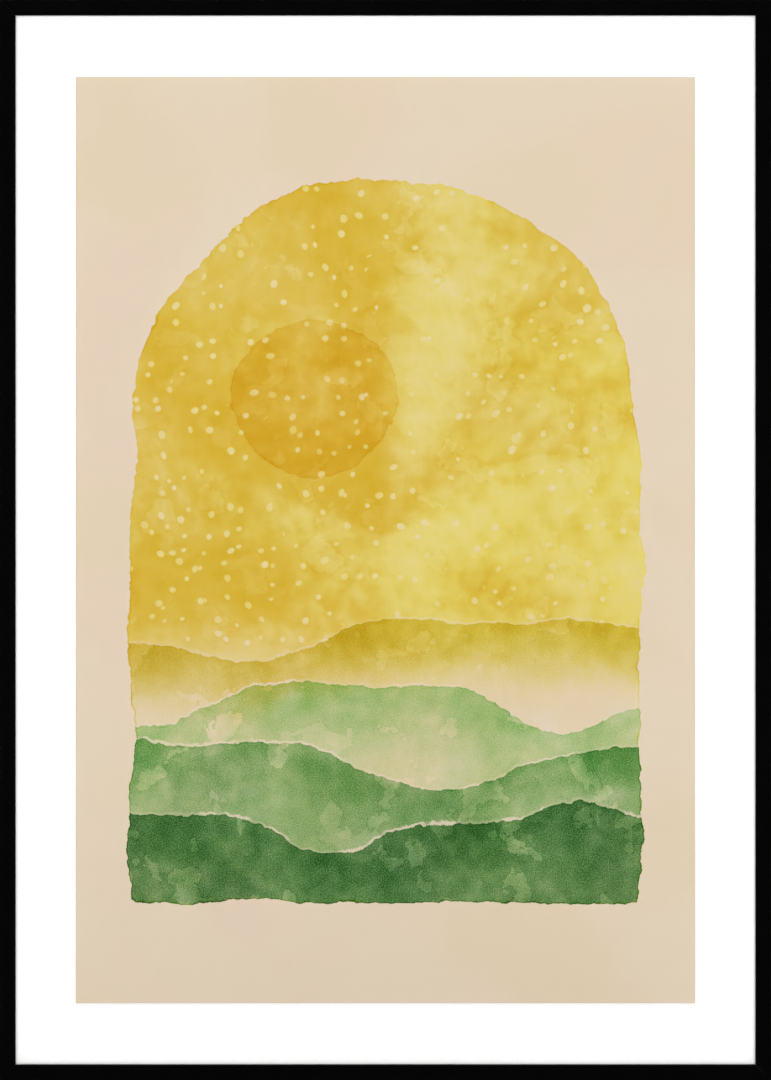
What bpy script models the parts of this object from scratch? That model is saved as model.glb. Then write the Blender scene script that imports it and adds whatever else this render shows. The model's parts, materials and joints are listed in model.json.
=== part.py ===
"""A slim black picture frame for a wall, holding a glazed print behind a white mat.

The frame stands upright and faces -Y. The origin lies on the wall behind the top rail, where the
nail carries the hanger. Nearly all of the frame hangs below it, and all of it is at negative Y.
"""

import math
from typing import NamedTuple

import bmesh
import bpy
from mathutils import Matrix, Vector

MM = 0.001

# Clearance between pieces that touch on the real thing
GAP = 0.3 * MM

# Frame rails
WIDTH = 500 * MM
HEIGHT = 700 * MM
FACE = 10.7 * MM
LIP = 4.4 * MM
REBATE = 4.0 * MM
EDGE_RADIUS = 0.8 * MM
BACK_CHAMFER = 0.4 * MM
MITRE_SETBACK = GAP / math.sqrt(2)

# Sheets in the rebate, from the front to the back
GLAZING_THICKNESS = 2.0 * MM
MAT_THICKNESS = 1.5 * MM
PRINT_THICKNESS = 0.3 * MM
FILLER_THICKNESS = 3.0 * MM
BACKING_THICKNESS = 3.0 * MM
SHEET_CLEARANCE = 0.8 * MM
WINDOW_WIDTH = 401 * MM
WINDOW_HEIGHT = 600 * MM

# Turn clips, measured from the screw that each turns on
CLIP_WIDTH = 6.0 * MM
CLIP_REACH = 19.0 * MM
CLIP_THICKNESS = 0.8 * MM
CLIP_TIP = 3.5 * MM
CLIP_TIP_LIFT = 0.7 * MM
CLIPS_ON_LONG_RAIL = (-230 * MM, 0.0, 230 * MM)
CLIPS_ON_SHORT_RAIL = (-135 * MM, 135 * MM)

# Clip screws. The dome is given as shares of the head's radius and height.
SCREW_RADIUS = 1.2 * MM
SCREW_LENGTH = 11.0 * MM
SCREW_TAPER = 3.0 * MM
SCREW_POINT_RADIUS = 0.5 * MM
SCREW_HEAD_RADIUS = 2.7 * MM
SCREW_HEAD_HEIGHT = 1.4 * MM
SCREW_DOME = ((1.0, 0.45), (0.86, 0.78), (0.55, 0.96))
RECESS_ARM = 1.55 * MM
RECESS_HALF_WIDTH = 0.35 * MM
RECESS_DEPTH = 0.85 * MM

# Hanger: flat at both ends, raised between them, with teeth along its lower edge
HANGER_LENGTH = 38.0 * MM
HANGER_HEIGHT = 6.0 * MM
HANGER_THICKNESS = 0.7 * MM
HANGER_RISE = 1.7 * MM
HANGER_FLAT = 5.0 * MM
HANGER_RAMP = 2.0 * MM
HANGER_CORNER = 1.0 * MM
TOOTH_PITCH = 2.4 * MM
TOOTH_DEPTH = 1.2 * MM
NOTCHES_EACH_SIDE = 4

# Hanger pins
PIN_RADIUS = 0.7 * MM
PIN_LENGTH = 10.0 * MM
PIN_TAPER = 2.0 * MM
PIN_POINT_RADIUS = 0.25 * MM
PIN_HEAD_RADIUS = 1.5 * MM
PIN_HEAD_TOP_RADIUS = 1.3 * MM
PIN_HEAD_HEIGHT = 0.6 * MM

# Corner wedges, driven across each mitre from behind
WEDGE_INSET = 1.8 * MM
WEDGE_LEG = 4.0 * MM
WEDGE_THICKNESS = 0.6 * MM
WEDGE_DEPTH = 7.5 * MM
WEDGE_SUNK = 0.2 * MM

# Felt bumpers between the bottom rail and the wall
BUMPER_LENGTH = 24.0 * MM
BUMPER_WIDTH = 6.0 * MM
BUMPER_THICKNESS = 2.9 * MM
BUMPER_INSET = 24.0 * MM
BUMPER_CORNER = 1.5 * MM

# Depths of the sheets' fronts, measured back from the frame's face
GLAZING_FRONT = LIP + GAP
MAT_FRONT = GLAZING_FRONT + GLAZING_THICKNESS + GAP
PRINT_FRONT = MAT_FRONT + MAT_THICKNESS + GAP
FILLER_FRONT = PRINT_FRONT + PRINT_THICKNESS + GAP
BACKING_FRONT = FILLER_FRONT + FILLER_THICKNESS + GAP
DEPTH = BACKING_FRONT + BACKING_THICKNESS + GAP

# Other sizes that follow
LAND = FACE - REBATE
LAND_MIDDLE = LAND / 2
SHEET_WIDTH = WIDTH - 2 * (LAND + SHEET_CLEARANCE)
SHEET_HEIGHT = HEIGHT - 2 * (LAND + SHEET_CLEARANCE)
STAND_OFF = BUMPER_THICKNESS + GAP
HANGER_TOP = LAND_MIDDLE - HANGER_HEIGHT / 2
NAIL_DROP = HANGER_TOP + HANGER_HEIGHT - TOOTH_DEPTH
PIN_PLACE = (HANGER_LENGTH - HANGER_FLAT) / 2
SCREW_RISE = GAP + CLIP_THICKNESS + GAP
SCREW_BITE = SCREW_LENGTH - SCREW_RISE
PIN_RISE = GAP + HANGER_THICKNESS + GAP
PIN_BITE = PIN_LENGTH - PIN_RISE

# Fineness of round shapes
ARC_STEPS = 4
ROUND_SIDES = 24
SHANK_SIDES = 16
SHARP_ANGLE = math.radians(35)


class Side(NamedTuple):
    """One side of the frame.

    angle is the turn about Y that points local +Z out of the frame there, distance runs from the
    frame's centre to its outer side, and clips are the places of the turn clips along the rail.
    """

    angle: float
    length: float
    distance: float
    clips: tuple
    next_side: str
    next_corner: str


SIDES = {
    "top": Side(0.0, WIDTH, HEIGHT / 2, CLIPS_ON_SHORT_RAIL, "right", "top_right"),
    "right": Side(math.pi / 2, HEIGHT, WIDTH / 2, CLIPS_ON_LONG_RAIL, "bottom", "bottom_right"),
    "bottom": Side(math.pi, WIDTH, HEIGHT / 2, CLIPS_ON_SHORT_RAIL, "left", "bottom_left"),
    "left": Side(-math.pi / 2, HEIGHT, WIDTH / 2, CLIPS_ON_LONG_RAIL, "top", "top_left"),
}


def clear_scene():
    """Removes the objects that the scene opens with."""
    for obj in list(bpy.data.objects):
        bpy.data.objects.remove(obj, do_unlink=True)


def material(name, colour, roughness, metallic=0.0, transmission=0.0):
    """A plain finish for one kind of piece."""
    made = bpy.data.materials.new(name)
    made.use_nodes = True
    shader = made.node_tree.nodes["Principled BSDF"]
    shader.inputs["Base Color"].default_value = (*colour, 1.0)
    shader.inputs["Roughness"].default_value = roughness
    shader.inputs["Metallic"].default_value = metallic
    shader.inputs["Transmission Weight"].default_value = transmission
    return made


def make_materials():
    """Every finish of the picture, by name."""
    return {
        "black_lacquer": material("black_lacquer", (0.012, 0.012, 0.012), 0.42),
        "clear_acrylic": material("clear_acrylic", (1.0, 1.0, 1.0), 0.02, transmission=1.0),
        "white_mat": material("white_mat", (0.93, 0.93, 0.92), 0.9),
        "print_paper": material("print_paper", (0.76, 0.63, 0.48), 0.85),
        "grey_board": material("grey_board", (0.42, 0.40, 0.37), 0.95),
        "hardboard": material("hardboard", (0.24, 0.14, 0.075), 0.7),
        "zinc_steel": material("zinc_steel", (0.62, 0.61, 0.59), 0.35, metallic=1.0),
        "brassed_steel": material("brassed_steel", (0.70, 0.60, 0.38), 0.3, metallic=1.0),
        "bare_steel": material("bare_steel", (0.45, 0.45, 0.46), 0.45, metallic=1.0),
        "grey_felt": material("grey_felt", (0.09, 0.09, 0.095), 1.0),
    }


def new_object(name, mesh, finish, centre):
    """An object of this mesh, placed from the empty at the middle of the frame's face."""
    obj = bpy.data.objects.new(name, mesh)
    bpy.context.scene.collection.objects.link(obj)
    obj.parent = centre
    if finish is not None and finish.name not in mesh.materials:
        mesh.materials.append(finish)
    return obj


def place_on_side(obj, side, along, inward, depth):
    """Puts an object on one side of the frame, turned so that its local +Z points outwards."""
    turn = Matrix.Rotation(side.angle, 4, "Y")
    obj.rotation_euler = (0.0, side.angle, 0.0)
    obj.location = turn @ Vector((along, depth, side.distance - inward))


def mesh_of(name, bm):
    """Turns a finished bmesh into a mesh whose faces point outwards and whose curves are smooth."""
    bmesh.ops.recalc_face_normals(bm, faces=bm.faces[:])
    mesh = bpy.data.meshes.new(name)
    bm.to_mesh(mesh)
    bm.free()
    mesh.shade_smooth()
    mesh.set_sharp_from_angle(angle=SHARP_ANGLE)
    return mesh


def cut_mesh(name, solid_mesh, cutter_mesh):
    """The mesh that is left of one mesh when another is cut from it."""
    solid = bpy.data.objects.new("solid", solid_mesh)
    cutter = bpy.data.objects.new("cutter", cutter_mesh)
    for obj in (solid, cutter):
        bpy.context.scene.collection.objects.link(obj)
    cut = solid.modifiers.new("cut", "BOOLEAN")
    cut.object = cutter
    cut.solver = "EXACT"
    bpy.context.view_layer.update()
    graph = bpy.context.evaluated_depsgraph_get()
    mesh = bpy.data.meshes.new_from_object(solid.evaluated_get(graph))
    mesh.name = name
    for obj in (solid, cutter):
        bpy.data.objects.remove(obj, do_unlink=True)
    return mesh


def prism(bm, outline, depth_start, depth_end):
    """Adds an outline of (x, z) points, pushed back from one depth to another."""
    face = bm.faces.new([bm.verts.new((x, depth_start, z)) for x, z in outline])
    pushed = bmesh.ops.extrude_face_region(bm, geom=[face])
    moved = [item for item in pushed["geom"] if isinstance(item, bmesh.types.BMVert)]
    bmesh.ops.translate(bm, vec=(0.0, depth_end - depth_start, 0.0), verts=moved)


def turned(bm, profile, sides, centre=(0.0, 0.0)):
    """Adds a solid turned about a line along Y through centre, an (x, z) point.

    profile holds (radius, depth) points, the first and last of them on the axis.
    """
    x, z = centre
    angles = [2 * math.pi * step / sides for step in range(sides)]
    rings = []
    for radius, depth in profile[1:-1]:
        ring = [(x + radius * math.cos(a), depth, z + radius * math.sin(a)) for a in angles]
        rings.append([bm.verts.new(point) for point in ring])
    first = bm.verts.new((x, profile[0][1], z))
    last = bm.verts.new((x, profile[-1][1], z))
    for step in range(sides):
        after = (step + 1) % sides
        bm.faces.new((first, rings[0][after], rings[0][step]))
        bm.faces.new((last, rings[-1][step], rings[-1][after]))
        for ring, behind in zip(rings, rings[1:]):
            bm.faces.new((ring[step], ring[after], behind[after], behind[step]))


def cylinder(bm, radius, depth_start, depth_end, sides, centre=(0.0, 0.0)):
    """Adds a cylinder along Y between two depths."""
    ends = [(radius, depth_start), (radius, depth_end)]
    turned(bm, [(0.0, depth_start), *ends, (0.0, depth_end)], sides, centre)


def bend_lines(bm, places, axis):
    """Cuts edges across a flat strip at places along an axis, where it will bend."""
    for place in places:
        geometry = bm.verts[:] + bm.edges[:] + bm.faces[:]
        bmesh.ops.bisect_plane(bm, geom=geometry, plane_co=axis * place, plane_no=axis)


def arc(centre, radius, start, end):
    """Points of an arc between two angles in degrees, both ends included."""
    angles = [math.radians(start + (end - start) * step / ARC_STEPS) for step in range(ARC_STEPS + 1)]
    return [(centre[0] + radius * math.cos(a), centre[1] + radius * math.sin(a)) for a in angles]


def rounded_rectangle(half_length, half_width, radius):
    """Points round a rectangle with round corners, or with round ends where the radius is full."""
    x, z = half_length - radius, half_width - radius
    points = arc((x, z), radius, 0, 90) + arc((-x, z), radius, 90, 180)
    return points + arc((-x, -z), radius, 180, 270) + arc((x, -z), radius, 270, 360)


def rail_section():
    """Points (inwards from the outer side, back from the face) round a rail's section."""
    outer = arc((EDGE_RADIUS, EDGE_RADIUS), EDGE_RADIUS, 180, 270)
    inner = arc((FACE - EDGE_RADIUS, EDGE_RADIUS), EDGE_RADIUS, 270, 360)
    rebate = [(FACE, LIP), (LAND, LIP), (LAND, DEPTH)]
    back = [(BACK_CHAMFER, DEPTH), (0.0, DEPTH - BACK_CHAMFER)]
    return outer + inner + rebate + back


def rail_mesh(name, length):
    """A rail along X with mitred ends, its outer side on Z = 0 and the rest of it below."""
    bm = bmesh.new()
    section = rail_section()
    ends = []
    for sign in (-1, 1):
        half = length / 2 - MITRE_SETBACK
        points = [(sign * (half - inward), depth, -inward) for inward, depth in section]
        ends.append([bm.verts.new(point) for point in points])
    near, far = ends
    bm.faces.new(near)
    bm.faces.new(far)
    for step in range(len(section)):
        after = (step + 1) % len(section)
        bm.faces.new((near[step], near[after], far[after], far[step]))
    return mesh_of(name, bm)


def wedge_mesh(name, clearance, depth_start, depth_end):
    """A strip bent square across the mitre, an L from behind, from the frame's outer corner."""
    near = WEDGE_INSET - clearance
    elbow = WEDGE_INSET + WEDGE_THICKNESS + clearance
    far = WEDGE_INSET + WEDGE_LEG + clearance
    outline = [(near, near), (far, near), (far, elbow), (elbow, elbow), (elbow, far), (near, far)]
    bm = bmesh.new()
    prism(bm, [(-x, -z) for x, z in outline], depth_start, depth_end)
    return mesh_of(name, bm)


def hole_mesh(name, radius, depth):
    """A round cutter that goes this deep into a rail's back."""
    bm = bmesh.new()
    cylinder(bm, radius, DEPTH - depth, DEPTH + MM, SHANK_SIDES)
    return mesh_of(name, bm)


def add_cutter(name, mesh, centre, side, along, inward, collections):
    """Places a hidden cutter on a side and links it to the collections of the rails it cuts."""
    cutter = new_object(name, mesh, None, centre)
    place_on_side(cutter, side, along, inward, 0.0)
    cutter.hide_render = True
    cutter.display_type = "WIRE"
    for collection in collections:
        collection.objects.link(cutter)


def make_cutters(centre):
    """The pilot holes and wedge slots of each side, as one collection of cutters a side."""
    cuts = {}
    for name in SIDES:
        cuts[name] = bpy.data.collections.new(f"cuts_{name}")
        cuts[name].hide_render = True
        bpy.context.scene.collection.children.link(cuts[name])
    screw_hole = hole_mesh("screw_hole", SCREW_RADIUS + GAP, SCREW_BITE + GAP)
    pin_hole = hole_mesh("pin_hole", PIN_RADIUS + GAP, PIN_BITE + GAP)
    slot_start = DEPTH - WEDGE_SUNK - WEDGE_DEPTH - GAP
    slot = wedge_mesh("wedge_slot", GAP, slot_start, DEPTH + MM)
    for name, side in SIDES.items():
        for place in side.clips:
            add_cutter(f"hole_{name}", screw_hole, centre, side, place, LAND_MIDDLE, [cuts[name]])
        both_rails = [cuts[name], cuts[side.next_side]]
        add_cutter(f"slot_{name}", slot, centre, side, side.length / 2, 0.0, both_rails)
    for place in (-PIN_PLACE, PIN_PLACE):
        add_cutter("hole_pin", pin_hole, centre, SIDES["top"], place, LAND_MIDDLE, [cuts["top"]])
    return cuts


def make_rails(materials, centre):
    """Four mitred rails with the pilot holes and wedge slots that their hardware needs."""
    cuts = make_cutters(centre)
    for name, side in SIDES.items():
        mesh = rail_mesh(f"rail_{name}", side.length)
        rail = new_object(f"rail_{name}", mesh, materials["black_lacquer"], centre)
        place_on_side(rail, side, 0.0, 0.0, 0.0)
        cut = rail.modifiers.new("holes_and_slots", "BOOLEAN")
        cut.operand_type = "COLLECTION"
        cut.collection = cuts[name]
        cut.solver = "EXACT"


def make_wedges(materials, centre):
    """One steel wedge across each mitre, driven in from behind and set just under the surface."""
    back = DEPTH - WEDGE_SUNK
    for side in SIDES.values():
        name = f"corner_wedge_{side.next_corner}"
        mesh = wedge_mesh(name, 0.0, back - WEDGE_DEPTH, back)
        wedge = new_object(name, mesh, materials["bare_steel"], centre)
        place_on_side(wedge, side, side.length / 2, 0.0, 0.0)


def make_mat(materials, centre):
    """A white board with a window cut at 45 degrees, wider at its face than at its back."""
    window = (WINDOW_WIDTH / 2, WINDOW_HEIGHT / 2)
    outside = (SHEET_WIDTH / 2, SHEET_HEIGHT / 2)
    face = (window[0] + MAT_THICKNESS, window[1] + MAT_THICKNESS)
    back = MAT_FRONT + MAT_THICKNESS
    bm = bmesh.new()
    loops = []
    for half, depth in ((outside, MAT_FRONT), (face, MAT_FRONT), (window, back), (outside, back)):
        corners = ((-1, -1), (1, -1), (1, 1), (-1, 1))
        loops.append([bm.verts.new((x * half[0], depth, z * half[1])) for x, z in corners])
    for number, loop in enumerate(loops):
        following = loops[(number + 1) % len(loops)]
        for step in range(4):
            after = (step + 1) % 4
            bm.faces.new((loop[step], loop[after], following[after], following[step]))
    new_object("mat", mesh_of("mat", bm), materials["white_mat"], centre)


def make_sheets(materials, centre):
    """The flat sheets of the rebate: glazing, print, filler board and backing board."""
    sheets = (
        ("glazing", GLAZING_THICKNESS, GLAZING_FRONT, "clear_acrylic"),
        ("print_sheet", PRINT_THICKNESS, PRINT_FRONT, "print_paper"),
        ("filler_board", FILLER_THICKNESS, FILLER_FRONT, "grey_board"),
        ("backing_board", BACKING_THICKNESS, BACKING_FRONT, "hardboard"),
    )
    x, z = SHEET_WIDTH / 2, SHEET_HEIGHT / 2
    for name, thickness, front, finish in sheets:
        bm = bmesh.new()
        prism(bm, [(-x, -z), (x, -z), (x, z), (-x, z)], front, front + thickness)
        new_object(name, mesh_of(name, bm), materials[finish], centre)


def clip_mesh():
    """A round-ended strip that turns on a screw at its origin. It reaches along -Z, its tip lifted."""
    radius = CLIP_WIDTH / 2
    middle = radius - (CLIP_REACH + radius) / 2
    outline = rounded_rectangle(radius, (CLIP_REACH + radius) / 2, radius)
    bm = bmesh.new()
    prism(bm, [(x, middle + z) for x, z in outline], 0.0, CLIP_THICKNESS)
    bmesh.ops.remove_doubles(bm, verts=bm.verts[:], dist=GAP / 10)
    bend = CLIP_TIP - CLIP_REACH
    bend_lines(bm, [bend], Vector((0.0, 0.0, 1.0)))
    for vert in bm.verts:
        beyond = max(0.0, bend - vert.co.z) / CLIP_TIP
        vert.co.y += CLIP_TIP_LIFT * beyond
    bore = bmesh.new()
    cylinder(bore, SCREW_RADIUS + GAP, -MM, CLIP_THICKNESS + MM, ROUND_SIDES)
    return cut_mesh("turn_clip", mesh_of("clip_strip", bm), mesh_of("clip_bore", bore))


def screw_mesh():
    """A pan-head screw along Y with a cross recess, its origin where the head meets the clip."""
    point = [(0.0, -SCREW_LENGTH), (SCREW_POINT_RADIUS, -SCREW_LENGTH)]
    shank = [(SCREW_RADIUS, SCREW_TAPER - SCREW_LENGTH), (SCREW_RADIUS, 0.0)]
    dome = [(SCREW_HEAD_RADIUS * across, SCREW_HEAD_HEIGHT * up) for across, up in SCREW_DOME]
    profile = point + shank + [(SCREW_HEAD_RADIUS, 0.0)] + dome + [(0.0, SCREW_HEAD_HEIGHT)]
    bm = bmesh.new()
    turned(bm, profile, SHANK_SIDES)
    arm, half = RECESS_ARM, RECESS_HALF_WIDTH
    corners = [(arm, -half), (arm, half), (half, half), (half, arm), (-half, arm), (-half, half)]
    recess = bmesh.new()
    recess_floor = SCREW_HEAD_HEIGHT - RECESS_DEPTH
    prism(recess, corners + [(-x, -z) for x, z in corners], recess_floor, SCREW_HEAD_HEIGHT + MM)
    return cut_mesh("clip_screw", mesh_of("screw_body", bm), mesh_of("screw_recess", recess))


def make_clips(materials, centre):
    """The turn clips that hold the backing board in, each on its own screw."""
    clip, screw = clip_mesh(), screw_mesh()
    for name, side in SIDES.items():
        for number, place in enumerate(side.clips, 1):
            turning = new_object(f"turn_clip_{name}_{number}", clip, materials["zinc_steel"], centre)
            place_on_side(turning, side, place, LAND_MIDDLE, DEPTH + GAP)
            fixed = new_object(f"clip_screw_{name}_{number}", screw, materials["brassed_steel"], centre)
            place_on_side(fixed, side, place, LAND_MIDDLE, DEPTH + SCREW_RISE)


def hanger_outline():
    """Points round the hanger's strip, whose lower edge is notched for the nail."""
    half, top, bottom = HANGER_LENGTH / 2, -HANGER_TOP, -HANGER_TOP - HANGER_HEIGHT
    teeth = []
    for notch in range(-NOTCHES_EACH_SIDE, NOTCHES_EACH_SIDE + 1):
        place = notch * TOOTH_PITCH
        teeth += [(place - TOOTH_PITCH / 2, bottom), (place, bottom + TOOTH_DEPTH)]
    teeth.append(((NOTCHES_EACH_SIDE + 0.5) * TOOTH_PITCH, bottom))
    near, low, high = half - HANGER_CORNER, bottom + HANGER_CORNER, top - HANGER_CORNER
    right = [(near, bottom), (half, low), (half, high), (near, top)]
    left = [(-near, top), (-half, high), (-half, low), (-near, bottom)]
    return teeth + right + left


def hanger_mesh():
    """The toothed strip, flat on the rail at both ends and raised between two ramps."""
    bm = bmesh.new()
    prism(bm, hanger_outline(), 0.0, HANGER_THICKNESS)
    foot = HANGER_LENGTH / 2 - HANGER_FLAT
    shoulder = foot - HANGER_RAMP
    bend_lines(bm, (-foot, -shoulder, shoulder, foot), Vector((1.0, 0.0, 0.0)))
    for vert in bm.verts:
        share = (foot - abs(vert.co.x)) / HANGER_RAMP
        vert.co.y += HANGER_RISE * min(1.0, max(0.0, share))
    holes = bmesh.new()
    for place in (-PIN_PLACE, PIN_PLACE):
        centre = (place, -LAND_MIDDLE)
        cylinder(holes, PIN_RADIUS + GAP, -MM, HANGER_THICKNESS + MM, SHANK_SIDES, centre)
    return cut_mesh("hanger", mesh_of("hanger_strip", bm), mesh_of("hanger_holes", holes))


def pin_mesh():
    """A small nail along Y with a flat head, its origin where the head meets the hanger."""
    point = [(0.0, -PIN_LENGTH), (PIN_POINT_RADIUS, -PIN_LENGTH)]
    shank = [(PIN_RADIUS, PIN_TAPER - PIN_LENGTH), (PIN_RADIUS, 0.0)]
    head = [(PIN_HEAD_RADIUS, 0.0), (PIN_HEAD_TOP_RADIUS, PIN_HEAD_HEIGHT), (0.0, PIN_HEAD_HEIGHT)]
    bm = bmesh.new()
    turned(bm, point + shank + head, SHANK_SIDES)
    return mesh_of("hanger_pin", bm)


def make_hanger(materials, centre):
    """The hanger on the top rail and the pins through its two feet."""
    hanger = new_object("hanger", hanger_mesh(), materials["zinc_steel"], centre)
    place_on_side(hanger, SIDES["top"], 0.0, 0.0, DEPTH + GAP)
    pin = pin_mesh()
    for name, place in (("left", -PIN_PLACE), ("right", PIN_PLACE)):
        fixed = new_object(f"hanger_pin_{name}", pin, materials["brassed_steel"], centre)
        place_on_side(fixed, SIDES["top"], place, LAND_MIDDLE, DEPTH + PIN_RISE)


def make_bumpers(materials, centre):
    """Two felt bumpers that keep the bottom of the frame off the wall, level with the hanger."""
    bm = bmesh.new()
    prism(bm, rounded_rectangle(BUMPER_LENGTH / 2, BUMPER_WIDTH / 2, BUMPER_CORNER), 0.0, BUMPER_THICKNESS)
    mesh = mesh_of("felt_bumper", bm)
    along = (WIDTH - BUMPER_LENGTH) / 2 - BUMPER_INSET
    for name, place in (("left", along), ("right", -along)):
        bumper = new_object(f"felt_bumper_{name}", mesh, materials["grey_felt"], centre)
        place_on_side(bumper, SIDES["bottom"], place, LAND_MIDDLE, DEPTH + GAP)


def main():
    """Builds the whole picture round an empty at the middle of its face."""
    clear_scene()
    centre = bpy.data.objects.new("picture_centre", None)
    centre.location = (0.0, -(STAND_OFF + DEPTH), NAIL_DROP - HEIGHT / 2)
    bpy.context.scene.collection.objects.link(centre)
    materials = make_materials()
    make_rails(materials, centre)
    make_wedges(materials, centre)
    make_mat(materials, centre)
    make_sheets(materials, centre)
    make_clips(materials, centre)
    make_hanger(materials, centre)
    make_bumpers(materials, centre)


main()
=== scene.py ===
"""Looks of a slim black picture frame that holds a painted print behind a white mat.

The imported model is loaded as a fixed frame. Each class makes the fine pieces of one sub-assembly
over it and gives them their finish. Lengths are in metres, +Z is up, and the print faces -Y.
"""

import json
import logging
import math
import random
from collections.abc import Callable, Iterator
from contextlib import contextmanager
from dataclasses import dataclass
from enum import Enum
from functools import cached_property, partialmethod, reduce

import bmesh
import bpy
from mathutils import Matrix, Vector

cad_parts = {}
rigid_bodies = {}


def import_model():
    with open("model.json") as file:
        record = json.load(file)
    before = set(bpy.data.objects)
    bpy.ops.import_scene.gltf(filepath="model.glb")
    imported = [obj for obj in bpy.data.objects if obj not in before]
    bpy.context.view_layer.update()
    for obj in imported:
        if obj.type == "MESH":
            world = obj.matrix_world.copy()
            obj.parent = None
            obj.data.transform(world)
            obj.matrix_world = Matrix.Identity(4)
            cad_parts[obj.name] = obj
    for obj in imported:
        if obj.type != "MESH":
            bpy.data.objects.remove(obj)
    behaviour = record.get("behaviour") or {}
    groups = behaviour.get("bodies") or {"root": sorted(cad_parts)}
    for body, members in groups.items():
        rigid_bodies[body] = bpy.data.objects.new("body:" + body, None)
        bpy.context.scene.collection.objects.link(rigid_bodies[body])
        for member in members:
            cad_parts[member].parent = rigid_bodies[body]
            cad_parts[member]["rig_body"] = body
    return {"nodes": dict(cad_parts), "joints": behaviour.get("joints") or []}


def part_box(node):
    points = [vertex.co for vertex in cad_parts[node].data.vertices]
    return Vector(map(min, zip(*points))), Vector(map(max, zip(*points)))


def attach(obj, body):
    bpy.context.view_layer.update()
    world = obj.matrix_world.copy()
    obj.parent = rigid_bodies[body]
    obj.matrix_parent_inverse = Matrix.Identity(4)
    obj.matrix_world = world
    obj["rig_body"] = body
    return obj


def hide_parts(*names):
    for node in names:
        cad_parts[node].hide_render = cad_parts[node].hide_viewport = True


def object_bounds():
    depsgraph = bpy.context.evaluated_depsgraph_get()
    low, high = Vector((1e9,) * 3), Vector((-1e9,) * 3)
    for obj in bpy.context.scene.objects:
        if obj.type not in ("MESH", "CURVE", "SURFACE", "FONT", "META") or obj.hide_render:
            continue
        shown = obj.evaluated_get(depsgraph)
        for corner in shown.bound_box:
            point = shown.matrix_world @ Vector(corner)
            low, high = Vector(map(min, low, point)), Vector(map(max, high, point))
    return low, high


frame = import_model()
CAD_LOW, CAD_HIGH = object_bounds()
log = logging.getLogger("framed_print")

MM = 0.001
SAME = 0.01 * MM
WELD = 0.02 * MM
STRAIGHT = 0.999
SHARP_ANGLE = math.radians(35)

# Sizes of the whole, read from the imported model
RAIL_LOW, RAIL_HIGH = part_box("rail_top")
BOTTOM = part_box("rail_bottom")[0].z
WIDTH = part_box("rail_right")[1].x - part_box("rail_left")[0].x
HEIGHT = RAIL_HIGH.z - BOTTOM
FACE = RAIL_HIGH.z - RAIL_LOW.z
DEPTH = RAIL_HIGH.y - RAIL_LOW.y
CENTRE = Vector((0.0, RAIL_LOW.y, (BOTTOM + RAIL_HIGH.z) / 2))

Point = tuple[float, float, float]
Profile = list[tuple[float, float]]
Piece = bpy.types.Object
Material = bpy.types.Material
ORIGIN = (0.0, 0.0, 0.0)
WHITE = (1.0, 1.0, 1.0)
X, Y, Z = range(3)


class Side(Enum):
    """A side of the frame. Its value is the turn about Y, in degrees, that points local +Z outwards."""

    TOP = 0.0
    RIGHT = 90.0
    BOTTOM = 180.0
    LEFT = -90.0

    @property
    def upright(self) -> bool:
        """True for the two long sides."""
        return self in (Side.RIGHT, Side.LEFT)

    @property
    def grain(self) -> "Grain":
        """The way that the grain of the side's rail runs."""
        return Grain.ALONG_Z if self.upright else Grain.ALONG_X

    @property
    def length(self) -> float:
        """Length of the side's rail along its outer edge."""
        return HEIGHT if self.upright else WIDTH

    def placed(self, along: float = 0.0, inward: float = 0.0, depth: float = 0.0) -> Matrix:
        """Gives the transform of a place on this side.

        Args:
            along: distance along the rail from its middle.
            inward: distance in from the outer edge.
            depth: distance back from the frame's face.

        Returns:
            A matrix that takes local X along the rail, Y to the wall and Z out of the frame.
        """
        reach = (WIDTH if self.upright else HEIGHT) / 2
        turn = Matrix.Rotation(math.radians(self.value), 4, "Y")
        return Matrix.Translation(CENTRE) @ turn @ Matrix.Translation((along, depth, reach - inward))


@dataclass(frozen=True)
class ClipSite:
    """The place of one turn clip: its side, its number there and the middle of its pivot."""

    side: Side
    number: int
    pivot: Vector

    @property
    def label(self) -> str:
        """The end of the names of what stands here."""
        return f"{self.side.name.lower()}_{self.number}"

    @property
    def local(self) -> Vector:
        """The pivot as its side measures it."""
        return self.side.placed().inverted() @ self.pivot

    def placed(self, y: float) -> Matrix:
        """The transform of a piece on this pivot, with its origin at this Y."""
        return self.side.placed(self.local.x, -self.local.z, y - CENTRE.y)


def clip_sites() -> list[ClipSite]:
    """The places of all turn clips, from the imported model's joints."""
    sites = []
    for joint in frame["joints"]:
        side, number = joint["child"].removeprefix("turn_clip_").split("_")
        sites.append(ClipSite(Side[side.upper()], int(number), Vector(joint["pos_m"])))
    return sites


# Modelling by hand


class Part(Enum):
    """What a selection is made of."""

    POINTS = "VERT"
    EDGES = "EDGE"
    FACES = "FACE"


def pick(*pieces: Piece) -> None:
    """Selects these objects and nothing else, with the first of them active."""
    if bpy.context.mode != "OBJECT":
        bpy.ops.object.mode_set(mode="OBJECT")
    bpy.ops.object.select_all(action="DESELECT")
    for piece in pieces:
        piece.select_set(True)
    if pieces:
        bpy.context.view_layer.objects.active = pieces[0]


@contextmanager
def editing(piece: Piece) -> Iterator[None]:
    """Opens a piece in edit mode with all of it selected, then turns its faces outwards and closes it."""
    pick(piece)
    bpy.ops.object.mode_set(mode="EDIT")
    bpy.ops.mesh.select_all(action="SELECT")
    yield
    bpy.ops.mesh.select_all(action="SELECT")
    bpy.ops.mesh.normals_make_consistent(inside=False)
    bpy.ops.object.mode_set(mode="OBJECT")


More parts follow.
